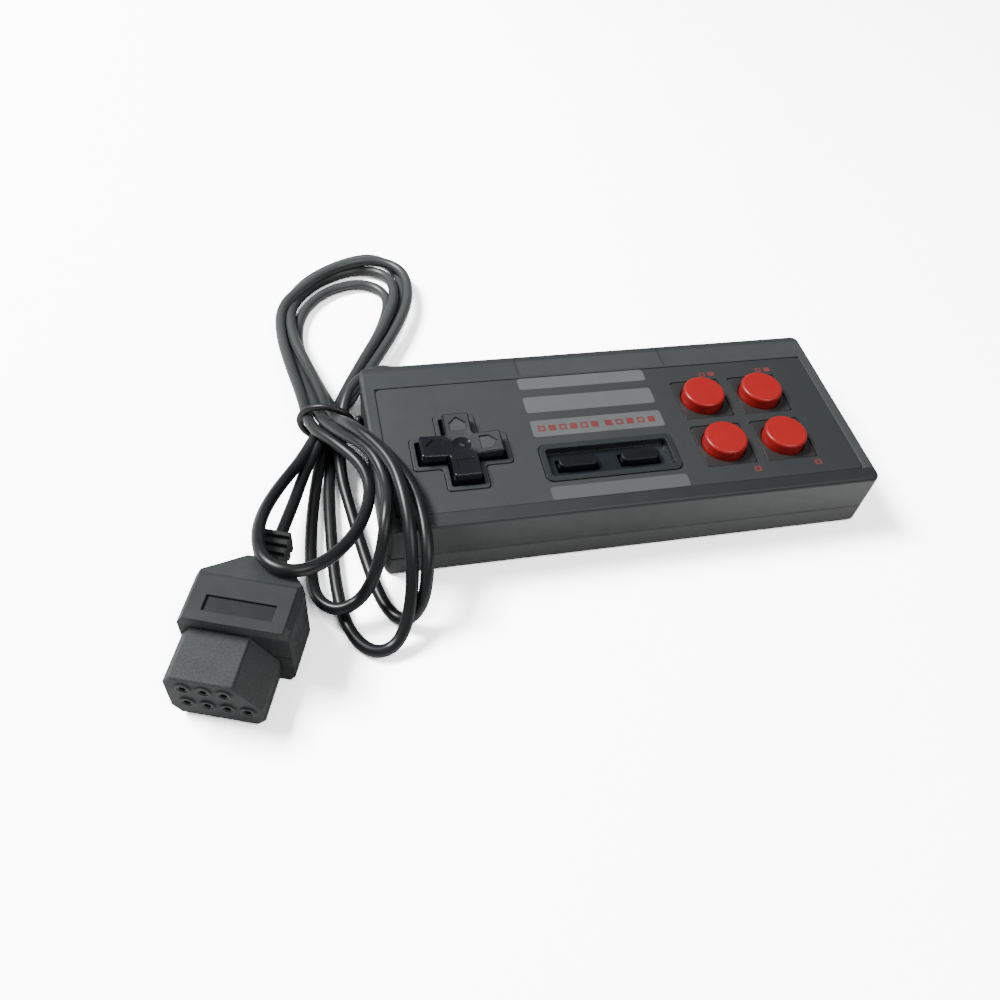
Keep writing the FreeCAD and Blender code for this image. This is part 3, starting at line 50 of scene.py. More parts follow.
# ---------------------------------------------------------------- materials
class Shader:
    """A small builder for one node material."""

    def __init__(self, name, roughness=0.5, metallic=0.0, specular=0.5):
        self.material = bpy.data.materials.new(name)
        self.material.use_nodes = True
        self.tree = self.material.node_tree
        self.surface = self.tree.nodes["Principled BSDF"]
        self.surface.inputs["Roughness"].default_value = roughness
        self.surface.inputs["Metallic"].default_value = metallic
        self.surface.inputs["Specular IOR Level"].default_value = specular
        self.place = self.node("ShaderNodeTexCoord").outputs["Object"]

    def node(self, kind, **settings):
        made = self.tree.nodes.new(kind)
        for key, value in settings.items():
            setattr(made, key, value)
        return made

    def link(self, source, target):
        self.tree.links.new(source, target)

    def noise(self, grain, detail=3.0, stretch=(1, 1, 1)):
        """Noise whose features are about grain metres across."""
        place = self.place
        if stretch != (1, 1, 1):
            mapping = self.node("ShaderNodeMapping")
            mapping.inputs["Scale"].default_value = stretch
            self.link(place, mapping.inputs["Vector"])
            place = mapping.outputs["Vector"]
        texture = self.node("ShaderNodeTexNoise")
        texture.inputs["Scale"].default_value = 1.0 / grain
        texture.inputs["Detail"].default_value = detail
        self.link(place, texture.inputs["Vector"])
        return texture.outputs["Fac"]

    def ramp(self, source, low, high, low_value=0.0, high_value=1.0):
        """source from low to high becomes low_value to high_value."""
        mapped = self.node("ShaderNodeMapRange")
        mapped.inputs["From Min"].default_value = low
        mapped.inputs["From Max"].default_value = high
        mapped.inputs["To Min"].default_value = low_value
        mapped.inputs["To Max"].default_value = high_value
        self.link(source, mapped.inputs["Value"])
        return mapped.outputs["Result"]

    def math(self, operation, first, second):
        made = self.node("ShaderNodeMath", operation=operation)
        for socket, value in zip(made.inputs, (first, second)):
            if isinstance(value, (int, float)):
                socket.default_value = value
            else:
                self.link(value, socket)
        return made.outputs["Value"]

    def mix(self, share, first, second):
        """A colour between two, each a triple or a socket."""
        made = self.node("ShaderNodeMix", data_type="RGBA")
        if isinstance(share, (int, float)):
            made.inputs["Factor"].default_value = share
        else:
            self.link(share, made.inputs["Factor"])
        # The node's colour sockets come after its number and vector sockets.
        for socket, value in ((made.inputs[6], first), (made.inputs[7], second)):
            if isinstance(value, tuple):
                socket.default_value = (*value, 1.0)
            else:
                self.link(value, socket)
        return made.outputs[2]

    def edges(self, radius):
        """1 along the edges and 0 on the faces, with the softened normal."""
        soft = self.node("ShaderNodeBevel", samples=4)
        soft.inputs["Radius"].default_value = radius
        plain = self.node("ShaderNodeNewGeometry")
        turn = self.node("ShaderNodeVectorMath", operation="DOT_PRODUCT")
        self.link(soft.outputs["Normal"], turn.inputs[0])
        self.link(plain.outputs["Normal"], turn.inputs[1])
        return self.ramp(turn.outputs["Value"], 0.995, 0.80), soft.outputs["Normal"]

    def colour(self, source):
        self.link(source, self.surface.inputs["Base Color"])

    def roughness(self, source):
        self.link(source, self.surface.inputs["Roughness"])

    def colour_so_far(self):
        return self.surface.inputs["Base Color"].links[0].from_socket

    def roughness_so_far(self):
        return self.surface.inputs["Roughness"].links[0].from_socket

    def tint(self, share, colour):
        """Moves the colour so far towards another by share, a number or a socket."""
        self.colour(self.mix(share, self.colour_so_far(), colour))

    def bump(self, source, strength, height, normal=None):
        made = self.node("ShaderNodeBump")
        made.inputs["Strength"].default_value = strength
        made.inputs["Distance"].default_value = height
        self.link(source, made.inputs["Height"])
        if normal is not None:
            self.link(normal, made.inputs["Normal"])
        self.link(made.outputs["Normal"], self.surface.inputs["Normal"])


def scaled(colour, factor):
    """A lighter or darker colour, with no part over 1."""
    return tuple(min(1.0, part * factor) for part in colour)


def moulded(name, colour, roughness, grain=0.0004, height=0.00001, edge=0.0002, wear=1.6,
            spread=0.15, specular=0.5):
    """Moulded plastic or rubber: fine grain, uneven tone, softened and worn edges."""
    made = Shader(name, roughness, specular=specular)
    cloud = made.noise(0.012, detail=4.0)
    tone = made.mix(made.ramp(cloud, 0.3, 0.7), scaled(colour, 1 - spread), scaled(colour, 1 + spread))
    fine = made.noise(grain, detail=2.0)
    edge_share, soft = made.edges(edge)
    broken = made.math("MULTIPLY", edge_share, made.ramp(made.noise(0.0015), 0.35, 0.65, 0.35, 1.0))
    made.colour(made.mix(made.math("MULTIPLY", broken, 0.6), tone, scaled(colour, wear)))
    made.roughness(made.ramp(made.noise(0.004), 0.3, 0.7, roughness * 0.88, min(1.0, roughness * 1.12)))
    made.bump(fine, 0.35, height, soft)
    return made


def metal(name, colour, roughness):
    """Plated or drawn metal with fine scratches and dull patches."""
    made = Shader(name, roughness, metallic=1.0)
    scratches = made.noise(0.0003, detail=4.0, stretch=(1, 1, 8))
    dull = made.ramp(made.noise(0.0012), 0.4, 0.7)
    made.colour(made.mix(made.math("MULTIPLY", dull, 0.5), colour, scaled(colour, 0.55)))
    made.roughness(made.ramp(scratches, 0.3, 0.7, roughness * 0.7, min(1.0, roughness * 1.4)))
    made.bump(scratches, 0.3, 0.00001)
    return made


def axis_of(shader, index, place=None):
    """One coordinate of the shaded point, in the object's own space or in place's."""
    split = shader.node("ShaderNodeSeparateXYZ")
    shader.link(place or shader.place, split.inputs["Vector"])
    return split.outputs[index]


def within(shader, block, place=None):
    """1 inside a block, 0 outside; the block is in the object's own space or in place's."""
    share = None
    for index in range(3):
        along = axis_of(shader, index, place)
        low = shader.math("GREATER_THAN", along, block[2 * index])
        high = shader.math("LESS_THAN", along, block[2 * index + 1])
        both = shader.math("MULTIPLY", low, high)
        share = both if share is None else shader.math("MULTIPLY", share, both)
    return share


# Blocks are x, y and z limits in metres, in the space of the casing or of the plug.
SHADED_REAR_EDGE = (-0.0620, 0.0620, 0.0243, 0.0270, 0.0160, 0.0175)
RIB_PLACES = (-0.0208, 0.0190)
RIB_HALF_WIDTH = 0.0004
LIT_BETWEEN_RIBS = (*RIB_PLACES, 0.0190, 0.0243, 0.0160, 0.0175)
BUTTON_WELLS = (0.0180, 0.0490, -0.0178, 0.0128, 0.0150, 0.0169)
WINDOW_LIP = (-0.0240, 0.0146, -0.0190, -0.0034, 0.0150, 0.0175)
WINDOW_FLOOR = (-0.0219, 0.0126, -0.0171, -0.0053, 0.0140, 0.0165)
FRONT_EDGE = (-0.0620, 0.0620, -0.0270, -0.0228, 0.0160, 0.0175)
LIT_FLANKS = (-0.0620, 0.0620, -0.0270, 0.0270, -0.0010, 0.0160)
LIT_LOWER_HALF = (-0.0620, 0.0620, -0.0270, 0.0270, -0.0010, 0.0062)


def make_smoked():
    """Smoked satin plastic with painted light and shade: lighter towards the right end, on the flanks
    and on the lower half; painted shade along the rear edge, painted shadows of the ribs under the rear
    rim and painted light between them; darker in the button wells, on the window lip, along the front
    edge and on the glossier window floor.
    """
    made = moulded("smoked_plastic", (0.052, 0.058, 0.059), 0.40, grain=0.0003, height=0.000006,
                   edge=0.00035, wear=2.2, spread=0.08, specular=0.4)
    across = axis_of(made, 0)

    def part_of(block, share):
        return made.math("MULTIPLY", within(made, block), share)

    # Painted light: the casing grows lighter towards its right end.
    made.tint(made.ramp(across, -0.03, 0.0615, 0.0, 0.35), (0.082, 0.085, 0.085))
    # Painted shade along the rear edge of the top.
    made.tint(part_of(SHADED_REAR_EDGE, 0.45), (0.026, 0.029, 0.030))
    # Painted shadows of the ribs under the rear rim, drawn as dark lines.
    for x in RIB_PLACES:
        rib_shadow = (x - RIB_HALF_WIDTH, x + RIB_HALF_WIDTH, 0.0190, 0.0258, 0.0160, 0.0175)
        made.tint(part_of(rib_shadow, 0.5), (0.020, 0.022, 0.022))
    # Painted light on the rear rim between the ribs.
    made.tint(part_of(LIT_BETWEEN_RIBS, 0.25), (0.085, 0.090, 0.090))
    made.tint(within(made, BUTTON_WELLS), (0.036, 0.034, 0.035))
    made.tint(within(made, WINDOW_LIP), (0.026, 0.031, 0.033))
    window = within(made, WINDOW_FLOOR)
    made.tint(window, (0.013, 0.018, 0.022))
    made.tint(part_of(FRONT_EDGE, made.ramp(across, -0.05, 0.03, 0.45, 0.9)), (0.024, 0.026, 0.027))
    # Painted light: the flanks grow lighter towards the right end.
    made.tint(part_of(LIT_FLANKS, made.ramp(across, 0.0, 0.0615, 0.0, 0.95)), (0.130, 0.134, 0.134))
    # Painted light: the lower half is lighter.
    made.tint(part_of(LIT_LOWER_HALF, 0.45), (0.130, 0.134, 0.134))
    made.roughness(made.math("SUBTRACT", made.roughness_so_far(), made.math("MULTIPLY", window, 0.16)))
    return made


def make_pad_black():
    """Glossy black, with a painted reflection: the arrow floors towards the back and the right are
    lighter and a little rougher.
    """
    made = moulded("gloss_black", (0.012, 0.014, 0.017), 0.10, grain=0.0006, height=0.000003,
                   edge=0.00018, wear=2.5, spread=0.2, specular=0.6)
    flat = made.node("ShaderNodeMapping")
    flat.inputs["Scale"].default_value = (1, 1, 0)
    made.link(made.place, flat.inputs["Vector"])
    apart = made.node("ShaderNodeVectorMath", operation="DISTANCE")
    made.link(flat.outputs["Vector"], apart.inputs[0])
    apart.inputs[1].default_value = PAD_CENTRE
    reach = apart.outputs["Value"]
    dish = made.math("ADD", made.math("MULTIPLY", reach, PAD_DISH_DEPTH / PAD_REACH),
                     PAD_TOP - PAD_DISH_DEPTH)
    depth = made.math("SUBTRACT", dish, axis_of(made, 2))
    diagonal = made.math("ADD", axis_of(made, 0), axis_of(made, 1))
    # Painted reflection on the arrow floors of the back and right arms.
    floor = made.ramp(diagonal, -0.0480, -0.0420)
    for source, low, high in ((depth, 0.00025, 0.00045), (reach, 0.0040, 0.0092)):
        floor = made.math("MULTIPLY", floor, made.math("GREATER_THAN", source, low))
        floor = made.math("MULTIPLY", floor, made.math("LESS_THAN", source, high))
    made.tint(floor, (0.050, 0.054, 0.058))
    made.roughness(made.math("ADD", made.roughness_so_far(), made.math("MULTIPLY", floor, 0.12)))
    return made


# Name, block, share and colour of each toned part of the plug, in the order they are applied.
PLUG_PARTS = [
    ("badge recess", (-0.0072, 0.0075, 0.0024, 0.0063, 0.0180, 0.0187), 1.0, (0.012, 0.013, 0.014)),
    # Painted shade: the top face is darker.
    ("top face", (-0.0130, 0.0130, -0.0010, 0.0200, 0.0187, 0.0195), 0.45, (0.012, 0.013, 0.014)),
    # Painted light: the front bevel is lighter.
    ("front bevel", (-0.0112, 0.0112, -0.0003, 0.0019, 0.0165, 0.0188), 0.8, (0.085, 0.090, 0.091)),
    # Painted light: the nose slant is lighter.
    ("nose slant", (0.0036, 0.0100, -0.0112, -0.0002, 0.0060, 0.0153), 0.45, (0.090, 0.095, 0.096)),
    ("socket rims", (-0.0120, 0.0120, -0.0130, -0.01165, 0.0, 0.0200), 1.0, (0.070, 0.076, 0.078)),
]


def make_plug_grey(name, roughness, grain, height, speckle):
    """Grained grey plastic with light specks, toned on the parts of the plug listed above, with painted
    shade on the top face and painted light on the front bevel and nose slant.
    """
    made = moulded(name, (0.041, 0.046, 0.047), roughness, grain=grain, height=height,
                   edge=0.00035, wear=2.0, spread=0.1, specular=0.3)
    specks = made.ramp(made.noise(grain, detail=2.0), 0.40, 0.62, 0.0, speckle)
    made.tint(specks, (0.085, 0.092, 0.093))
    along = made.node("ShaderNodeMapping", vector_type="TEXTURE")
    along.inputs["Location"].default_value = PLUG_PLACE
    along.inputs["Rotation"].default_value = (0, 0, math.radians(PLUG_TURN_DEGREES))
    made.link(made.place, along.inputs["Vector"])
    for _, block, share, colour in PLUG_PARTS:
        inside = within(made, block, along.outputs["Vector"])
        made.tint(made.math("MULTIPLY", inside, share), colour)
    return made


def make_label():
    """Printed film with a painted sheen: lighter on the left, darkening towards the right."""
    made = moulded("label_film", (0.060, 0.064, 0.065), 0.6, grain=0.00022, height=0.000012,
                   edge=0.00012, wear=1.5, spread=0.07, specular=0.2)
    # Painted sheen: lighter on the left, darker towards the right.
    made.tint(made.ramp(axis_of(made, 0), -0.055, 0.055), (0.036, 0.040, 0.041))
    return made


def make_cord_black():
    """Satin vinyl, with painted light making it lighter towards the rear loops."""
    made = moulded("cord_black", (0.013, 0.0145, 0.0155), 0.34, grain=0.0006, height=0.000012,
                   wear=1.0, spread=0.25)
    # Painted light: the cord grows lighter towards the rear loops.
    made.tint(made.ramp(axis_of(made, 1), 0.0, 0.055), (0.072, 0.079, 0.079))
    return made


def make_bar_ink():
    """Light grey ink, a little darker on the bar nearest the front edge."""
    made = moulded("bar_ink", (0.130, 0.139, 0.138), 0.55, grain=0.00022, height=0.000012,
                   edge=0.0001, wear=1.2, spread=0.05, specular=0.2)
    made.tint(made.ramp(axis_of(made, 1), -0.0120, -0.0180), (0.102, 0.110, 0.109))
    return made


CORE_ROW = (-0.0295, -0.0160)


def make_core_colours():
    """The cord's cores, one colour each across the row of solder joints."""
    made = Shader("core_colours", 0.45)
    bands = made.ramp(axis_of(made, 0), *CORE_ROW)
    table = made.node("ShaderNodeValToRGB")
    made.link(bands, table.inputs["Fac"])
    table.color_ramp.interpolation = "CONSTANT"
    colours = [(0.55, 0.03, 0.03), (0.60, 0.45, 0.05), (0.04, 0.30, 0.07), (0.05, 0.10, 0.5),
               (0.6, 0.6, 0.58)]
    for index, colour in enumerate(colours):
        stop = (table.color_ramp.elements[index] if index < 2
                else table.color_ramp.elements.new(index / len(colours)))
        stop.position = index / len(colours)
        stop.color = (*colour, 1)
    made.colour(table.outputs["Color"])
    made.bump(made.noise(0.0004), 0.3, 0.00002)
    return made


def make_board():
    """Solder mask over copper tracks, with a woven glass grain."""
    made = Shader("board_green", 0.35)
    tracks = made.node("ShaderNodeTexBrick")
    tracks.inputs["Scale"].default_value = 160.0
    tracks.inputs["Mortar Size"].default_value = 0.03
    made.link(made.place, tracks.inputs["Vector"])
    weave = made.noise(0.0005, detail=1.0)
    green = made.mix(tracks.outputs["Fac"], (0.020, 0.115, 0.045), (0.035, 0.20, 0.075))
    made.colour(made.mix(made.ramp(weave, 0.45, 0.75, 0.0, 0.4), green, (0.05, 0.16, 0.07)))
    made.bump(weave, 0.2, 0.00001)
    return made


def dress_node(node, shader):
    """Gives a CAD piece its material and leaves its shape alone."""
    body = NODES[node]
    body.data.materials.clear()
    body.data.materials.append(shader.material)


smoked = make_smoked()
label = make_label()
gloss_black = make_pad_black()
button_red = moulded("button_red", (0.40, 0.013, 0.014), 0.34, grain=0.0003, height=0.000006,
                     edge=0.0002, wear=1.35, spread=0.05)
grey_rubber = moulded("grey_rubber", (0.33, 0.34, 0.34), 0.7, grain=0.0005, edge=0.0003, wear=1.2)
key_rubber = moulded("key_rubber", (0.006, 0.008, 0.010), 0.45, grain=0.00025, height=0.00001,
                     edge=0.0003, wear=2.4, specular=0.3)
boot_rubber = moulded("boot_rubber", (0.018, 0.020, 0.0205), 0.42, grain=0.0003, height=0.00001,
                      edge=0.0003, wear=2.2)
carbon = moulded("carbon", (0.018, 0.018, 0.018), 0.8, grain=0.0002, height=0.00002, wear=1.5)
resin = moulded("black_resin", (0.010, 0.010, 0.010), 0.25, grain=0.0015, height=0.00004, wear=1.5)
sleeve_blue = moulded("capacitor_sleeve", (0.03, 0.05, 0.22), 0.3, wear=1.6)
plug_grey = make_plug_grey("plug_grey", 0.58, 0.00028, 0.00003, 0.08)
nose_grey = make_plug_grey("nose_grey", 0.62, 0.00042, 0.00007, 0.40)
tie_black = moulded("tie_black", (0.014, 0.014, 0.015), 0.4, grain=0.0003, wear=1.8)
cord_black = make_cord_black()
steel = metal("zinc_steel", (0.55, 0.55, 0.56), 0.35)
solder = metal("solder", (0.62, 0.62, 0.64), 0.25)
contact = metal("contact_metal", (0.10, 0.10, 0.098), 0.45)

FINISH = {
    "top_casing": smoked, "bottom_casing": smoked, "label_plate": label,
    "casing_screws": steel, "plug_screws": steel, "directional_pad": gloss_black,
    "pivot_ball": gloss_black, "directional_pad_rubber": grey_rubber, "button_rubber": grey_rubber,
    "key_rubber": grey_rubber, "select_key": key_rubber, "start_key": key_rubber,
    "board_contacts": carbon, "circuit_board": make_board(), "chip_resin": resin,
    "resistors": resin, "capacitor": sleeve_blue, "cord_gland": boot_rubber,
    "core_wires": make_core_colours(), "solder_joints": solder, "plug_upper_shell": plug_grey,
    "plug_lower_shell": plug_grey, "plug_nose": nose_grey, "plug_contacts": contact,
    "plug_strain_relief": boot_rubber, "cord_inside": cord_black,
}
BUTTONS = ("button_a", "button_b", "button_turbo_a", "button_turbo_b")
for button in BUTTONS:
    FINISH[button] = button_red
for control in (*BUTTONS, "select_key", "start_key"):
    FINISH[control + "_dome"] = grey_rubber
    FINISH[control + "_pill"] = carbon
for node, shader in FINISH.items():
    dress_node(node, shader)


# ---------------------------------------------------------------- cord
CORD_DIAMETER = 2.9
CONTROLLER_LEAD = [
    (-36.0, 29.5, 6.2), (-36.2, 33.6, 5.6), (-38.8, 37.8, 3.8), (-46.0, 38.6, 2.2),
    (-51.0, 37.4, 4.4), (-56.0, 35.4, 7.4), (-61.4, 31.0, 8.6), (-65.6, 24.6, 8.2),
]
FIRST_TURN = [
    (-67.6, 15.0, 4.8), (-69.0, 4.0, 3.4), (-67.2, -10.0, 2.0), (-65.0, -26.0, 1.5),
    (-62.6, -36.6, 1.5), (-58.6, -41.4, 2.4), (-54.4, -39.8, 7.6), (-52.8, -34.0, 16.2),
    (-52.6, -25.0, 19.2), (-53.8, -14.0, 19.0), (-59.4, -4.0, 20.2), (-64.8, 6.0, 16.8),
    (-67.4, 16.0, 8.6), (-70.4, 28.0, 6.0), (-73.4, 42.0, 2.6), (-76.4, 54.0, 1.6),
    (-74.5, 68.0, 1.5), (-66.0, 78.0, 1.5), (-54.5, 80.8, 1.5), (-47.5, 74.0, 1.5),
    (-51.0, 60.0, 1.5), (-60.0, 43.0, 1.5), (-67.2, 29.0, 1.5),
]
SECOND_TURN = [
    (-70.2, 15.0, 1.6), (-72.0, 2.0, 1.5), (-72.8, -12.0, 1.5), (-73.2, -29.0, 1.5),
    (-71.6, -41.0, 1.5), (-66.8, -47.6, 1.5), (-60.8, -46.6, 2.4), (-57.2, -40.0, 8.4),
    (-56.2, -32.0, 18.2), (-56.2, -21.5, 22.2), (-58.0, -9.0, 22.6), (-65.8, 5.0, 19.8),
    (-69.6, 15.0, 10.8), (-71.4, 28.0, 8.4), (-74.2, 42.0, 5.2), (-77.6, 56.0, 4.2),
    (-77.2, 70.0, 2.8), (-68.5, 82.0, 1.5), (-56.0, 87.5, 1.5), (-46.6, 83.5, 2.0),
    (-46.0, 70.0, 4.0), (-51.6, 56.0, 4.2), (-59.4, 42.0, 4.2), (-66.0, 29.0, 4.3),
]
THIRD_TURN = [
    (-71.6, 15.0, 4.6), (-75.0, 2.0, 2.6), (-77.2, -10.0, 1.6), (-78.4, -24.0, 2.0),
    (-77.8, -33.4, 3.8), (-73.0, -37.8, 4.8), (-67.2, -35.8, 6.4), (-63.2, -32.0, 13.8),
    (-60.8, -25.0, 20.7), (-59.2, -14.0, 19.2), (-61.6, -4.0, 19.6), (-68.0, 6.0, 15.6),
    (-72.4, 15.0, 11.0), (-73.8, 28.0, 6.6), (-76.4, 42.0, 3.0), (-79.0, 55.0, 1.6),
    (-79.4, 68.0, 1.5), (-74.5, 80.0, 1.5), (-64.0, 89.0, 1.5), (-50.5, 93.8, 1.5),
    (-43.0, 85.0, 1.5), (-43.4, 72.0, 1.5), (-48.6, 58.0, 1.5), (-57.0, 43.0, 1.5),
    (-64.2, 29.0, 1.6),
]
FOURTH_TURN = [
    (-72.8, 15.0, 7.6), (-78.0, 5.0, 7.8), (-84.0, -4.5, 9.4), (-87.6, -14.0, 12.6),
    (-88.8, -23.0, 16.4), (-87.8, -31.4, 18.6), (-82.4, -35.8, 19.2), (-75.6, -33.8, 17.8),
    (-68.0, -25.5, 15.2), (-63.0, -14.0, 13.6), (-63.2, -4.0, 13.6), (-69.8, 6.0, 12.6),
    (-75.2, 14.0, 9.8), (-76.4, 28.0, 7.4), (-78.8, 42.0, 5.6), (-80.6, 56.0, 4.4),
    (-79.8, 68.0, 4.3), (-73.0, 76.5, 4.4), (-64.0, 84.5, 4.4), (-52.0, 88.5, 4.4),
    (-42.2, 83.0, 4.4), (-41.8, 70.0, 4.3), (-46.8, 57.0, 4.3), (-55.2, 42.5, 4.3),
    (-63.6, 29.0, 4.6), (-69.8, 15.0, 7.6),
]
PLUG_LEAD = [
    (-74.6, 8.5, 7.0), (-78.0, 1.5, 5.8), (-80.2, -6.0, 7.0), (-82.4, -13.3, 8.7),
    (-84.52, -19.40, 9.5),
]


def bent_bar(name, points, diameter, shader):
    """A round bar whose centreline is one open NURBS spline."""
    line = bpy.data.curves.new(name, "CURVE")
    line.dimensions = "3D"
    spline = line.splines.new("NURBS")
    spline.points.add(len(points) - 1)
    for point, place in zip(spline.points, points):
        point.co = (place[0] * MM, place[1] * MM, place[2] * MM, 1.0)
    spline.order_u = 3
    spline.use_endpoint_u = True
    spline.resolution_u = 10
    line.bevel_depth = diameter / 2 * MM
    line.bevel_resolution = 6
    line.use_fill_caps = True
    line.materials.append(shader.material)
    bar = bpy.data.objects.new(name, line)
    bpy.context.scene.collection.objects.link(bar)
    return bar


route = CONTROLLER_LEAD + FIRST_TURN + SECOND_TURN + THIRD_TURN + FOURTH_TURN + PLUG_LEAD
cord = bent_bar("cord", route, CORD_DIAMETER, cord_black)
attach(cord, BASE)
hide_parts("cord_controller_lead", "cord_plug_lead", "cord_loop_over_plug",
            "cord_front_loops", "cord_rear_loops", "cord_waist")


# ---------------------------------------------------------------- wire tie
TIE_LOOP = [
    (-64.0, 15.0, 3.2), (-63.8, 14.8, 8.2), (-65.8, 15.2, 12.6), (-70.4, 16.4, 14.2),
    (-75.2, 18.0, 12.6), (-77.8, 19.0, 8.4), (-77.0, 19.0, 3.8), (-73.8, 18.4, 0.9),
    (-68.8, 17.0, 0.8), (-65.0, 16.0, 1.8), (-63.3, 15.6, 5.0), (-62.8, 17.0, 8.6),
    (-62.2, 19.0, 5.6), (-62.0, 20.2, 3.0),
]
TIE_DIAMETER = 1.7
tie = bent_bar("tie", TIE_LOOP, TIE_DIAMETER, tie_black)
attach(tie, BASE)
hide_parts("wire_tie")


# ---------------------------------------------------------------- print on the label
def rounded_outline(left, right, front, back, radius, steps=6):
    """The corners of a rectangle with round corners, anticlockwise."""
    centres = [(right - radius, back - radius, 0), (left + radius, back - radius, 90),
               (left + radius, front + radius, 180), (right - radius, front + radius, 270)]
    for x, y, start in centres:
        for step in range(steps + 1):
            turn = math.radians(start + 90 * step / steps)
            yield x + radius * math.cos(turn), y + radius * math.sin(turn)


def printed(name, shapes, level, thickness, shader):
    """Thin flat shapes of ink, in millimetres. Each is (outline, None) or (outline, hole)."""
    mesh = bpy.data.meshes.new(name)
    build = bmesh.new()

    def ring(outline, height):
        return [build.verts.new((x * MM, y * MM, height * MM)) for x, y in outline]

    def band(first, second):
        for k in range(len(first)):
            after = (k + 1) % len(first)
            build.faces.new((first[k], first[after], second[after], second[k]))

    for outer, inner in shapes:
        low, high = ring(outer, level), ring(outer, level + thickness)
        band(low, high)
        if inner is None:
            build.faces.new(high)
            build.faces.new(low[::-1])
            continue
        low_hole, high_hole = ring(inner, level), ring(inner, level + thickness)
        band(high_hole, low_hole)
        band(high, high_hole)
        band(low_hole, low)
    build.normal_update()
    build.to_mesh(mesh)
    build.free()
    piece = bpy.data.objects.new(name, mesh)
    bpy.context.scene.collection.objects.link(piece)
    mesh.materials.append(shader.material)
    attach(piece, BASE)


LABEL_TOP = 16.85
bar_ink = make_bar_ink()
mark_ink = moulded("mark_ink", (0.19, 0.048, 0.052), 0.5, grain=0.0003, height=0.00001,
                   edge=0.0001, wear=1.2, spread=0.1, specular=0.2)
BAR_INK_THICKNESS = 0.03
MARK_INK_THICKNESS = 0.02
BAR_LEFT, BAR_RIGHT = -21.8, 12.5
BARS = [(13.9, 18.0), (5.6, 11.1), (-2.6, 2.9), (-22.5, -18.6)]
bars = [(list(rounded_outline(BAR_LEFT, BAR_RIGHT, front, back, 0.8)), None) for front, back in BARS]
printed("label_bars", bars, LABEL_TOP, BAR_INK_THICKNESS, bar_ink)

# Rows of marks, in millimetres: the first mark's place, the pitch, the number of marks,
# the width and height of each, and 0 or 1 for whether the even or the odd ones are hollow.
MARK_ROWS = [
    (-19.3, 0.1, 2.75, 6, 1.9, 1.9, 0), (-1.9, 0.1, 2.85, 5, 1.9, 1.9, 1),
    (28.4, 14.2, 2.6, 2, 1.8, 1.6, 0), (44.7, 14.2, 2.6, 2, 1.8, 1.6, 0),
    (31.1, -19.5, 0.0, 1, 1.8, 1.6, 0), (47.5, -19.3, 0.0, 1, 1.8, 1.6, 0),
]
MARK_STROKE = 0.45


def mark(x, y, width, height, hollow):
    """One plain block of the print, solid or hollow."""
    half_width, half_height = width / 2, height / 2
    outer = list(rounded_outline(x - half_width, x + half_width,
                                 y - half_height, y + half_height, 0.3))
    if not hollow:
        return outer, None
    half_width -= MARK_STROKE
    half_height -= MARK_STROKE
    return outer, list(rounded_outline(x - half_width, x + half_width,
                                       y - half_height, y + half_height, 0.1))


marks = [mark(x + pitch * k, y, width, height, k % 2 == odd)
         for x, y, pitch, count, width, height, odd in MARK_ROWS for k in range(count)]
printed("label_marks", marks, LABEL_TOP + BAR_INK_THICKNESS, MARK_INK_THICKNESS, mark_ink)


# ---------------------------------------------------------------- floor, light and camera
FLOOR_REACH = 3.0
FLOOR_LEVEL = -0.0002
LIGHTS = [
    # name, place, target, width, height, power
    ("key", (-0.66, 0.36, 0.85), (-0.05, 0.0, 0.0), 0.42, 0.36, 20.5),
    ("fill", (0.30, -0.42, 0.80), (-0.05, 0.0, 0.0), 0.6, 0.5, 3.2),
    ("card_up", (0.135, 0.54, 0.85), (-0.04, 0.0, 0.02), 0.18, 0.18, 0.15),
    ("card_right", (0.025, 0.70, 0.85), (-0.04, 0.0, 0.02), 0.15, 0.20, 0.14),
]
WORLD_STRENGTH = 0.12
CAMERA_PLACE = (-0.07514, -0.14449, 0.17660)
CAMERA_RIGHT = (0.97469, -0.20387, 0.09173)
CAMERA_UP = (0.10290, 0.77340, 0.62552)
CAMERA_BACK = (-0.19847, -0.60025, 0.77480)
CAMERA_LENS = 32.26


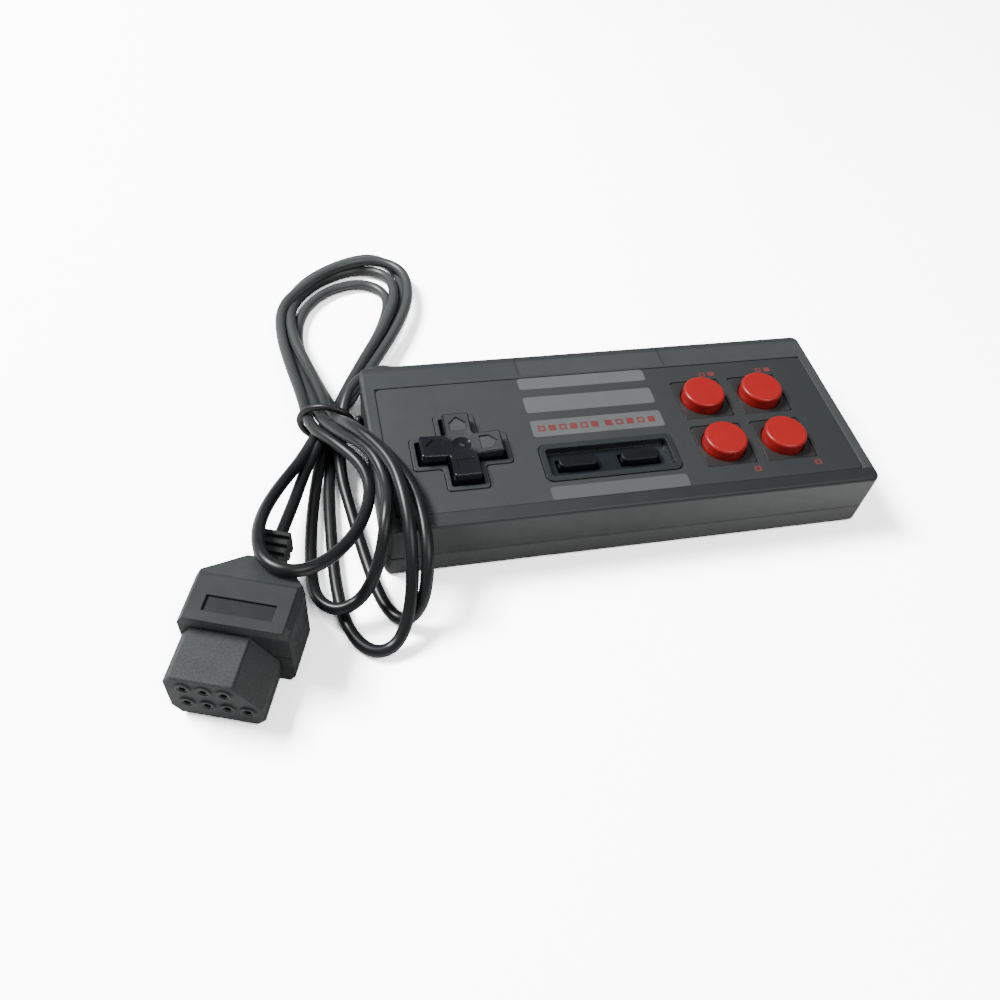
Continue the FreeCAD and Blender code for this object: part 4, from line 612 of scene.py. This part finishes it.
def make_floor():
    """White paper, overexposed where the camera sees it and plain where it lights the object."""
    floor_shader = Shader("floor_paper", 0.7)
    cloud = floor_shader.noise(0.15)
    paper = floor_shader.mix(cloud, (0.80, 0.80, 0.80), (0.84, 0.84, 0.84))
    overexposed = floor_shader.mix(cloud, (6.9, 6.9, 6.9), (7.1, 7.1, 7.1))
    seen = floor_shader.node("ShaderNodeLightPath").outputs["Is Camera Ray"]
    floor_shader.colour(floor_shader.mix(seen, paper, overexposed))
    mesh = bpy.data.meshes.new("floor")
    signs = [(-1, -1), (1, -1), (1, 1), (-1, 1)]
    corners = [(x * FLOOR_REACH, y * FLOOR_REACH, FLOOR_LEVEL) for x, y in signs]
    mesh.from_pydata(corners, [], [(0, 1, 2, 3)])
    mesh.materials.append(floor_shader.material)
    floor = bpy.data.objects.new("floor", mesh)
    bpy.context.scene.collection.objects.link(floor)


def area_light(name, place, target, width, height, power):
    """A rectangular light, sizes in metres and power in watts, facing its target."""
    lamp = bpy.data.lights.new(name, "AREA")
    lamp.shape = "RECTANGLE"
    lamp.size = width
    lamp.size_y = height
    lamp.energy = power
    holder = bpy.data.objects.new(name, lamp)
    aim = Vector(target) - Vector(place)
    holder.location = place
    holder.rotation_euler = aim.to_track_quat("-Z", "Y").to_euler()
    bpy.context.scene.collection.objects.link(holder)


def make_lights():
    world = bpy.data.worlds.new("studio")
    world.use_nodes = True
    world.node_tree.nodes["Background"].inputs["Color"].default_value = (1, 1, 1, 1)
    world.node_tree.nodes["Background"].inputs["Strength"].default_value = WORLD_STRENGTH
    bpy.context.scene.world = world
    for light in LIGHTS:
        area_light(*light)


def make_camera():
    lens = bpy.data.cameras.new("camera")
    lens.sensor_width = 36.0
    lens.lens = CAMERA_LENS
    lens.clip_start = 0.01
    holder = bpy.data.objects.new("camera", lens)
    turn = Matrix((CAMERA_RIGHT, CAMERA_UP, CAMERA_BACK)).transposed().to_4x4()
    holder.matrix_world = Matrix.Translation(CAMERA_PLACE) @ turn
    bpy.context.scene.collection.objects.link(holder)
    bpy.context.scene.camera = holder


make_floor()
make_lights()
make_camera()


def plain(box):
    return [[float(part) for part in corner] for corner in box]
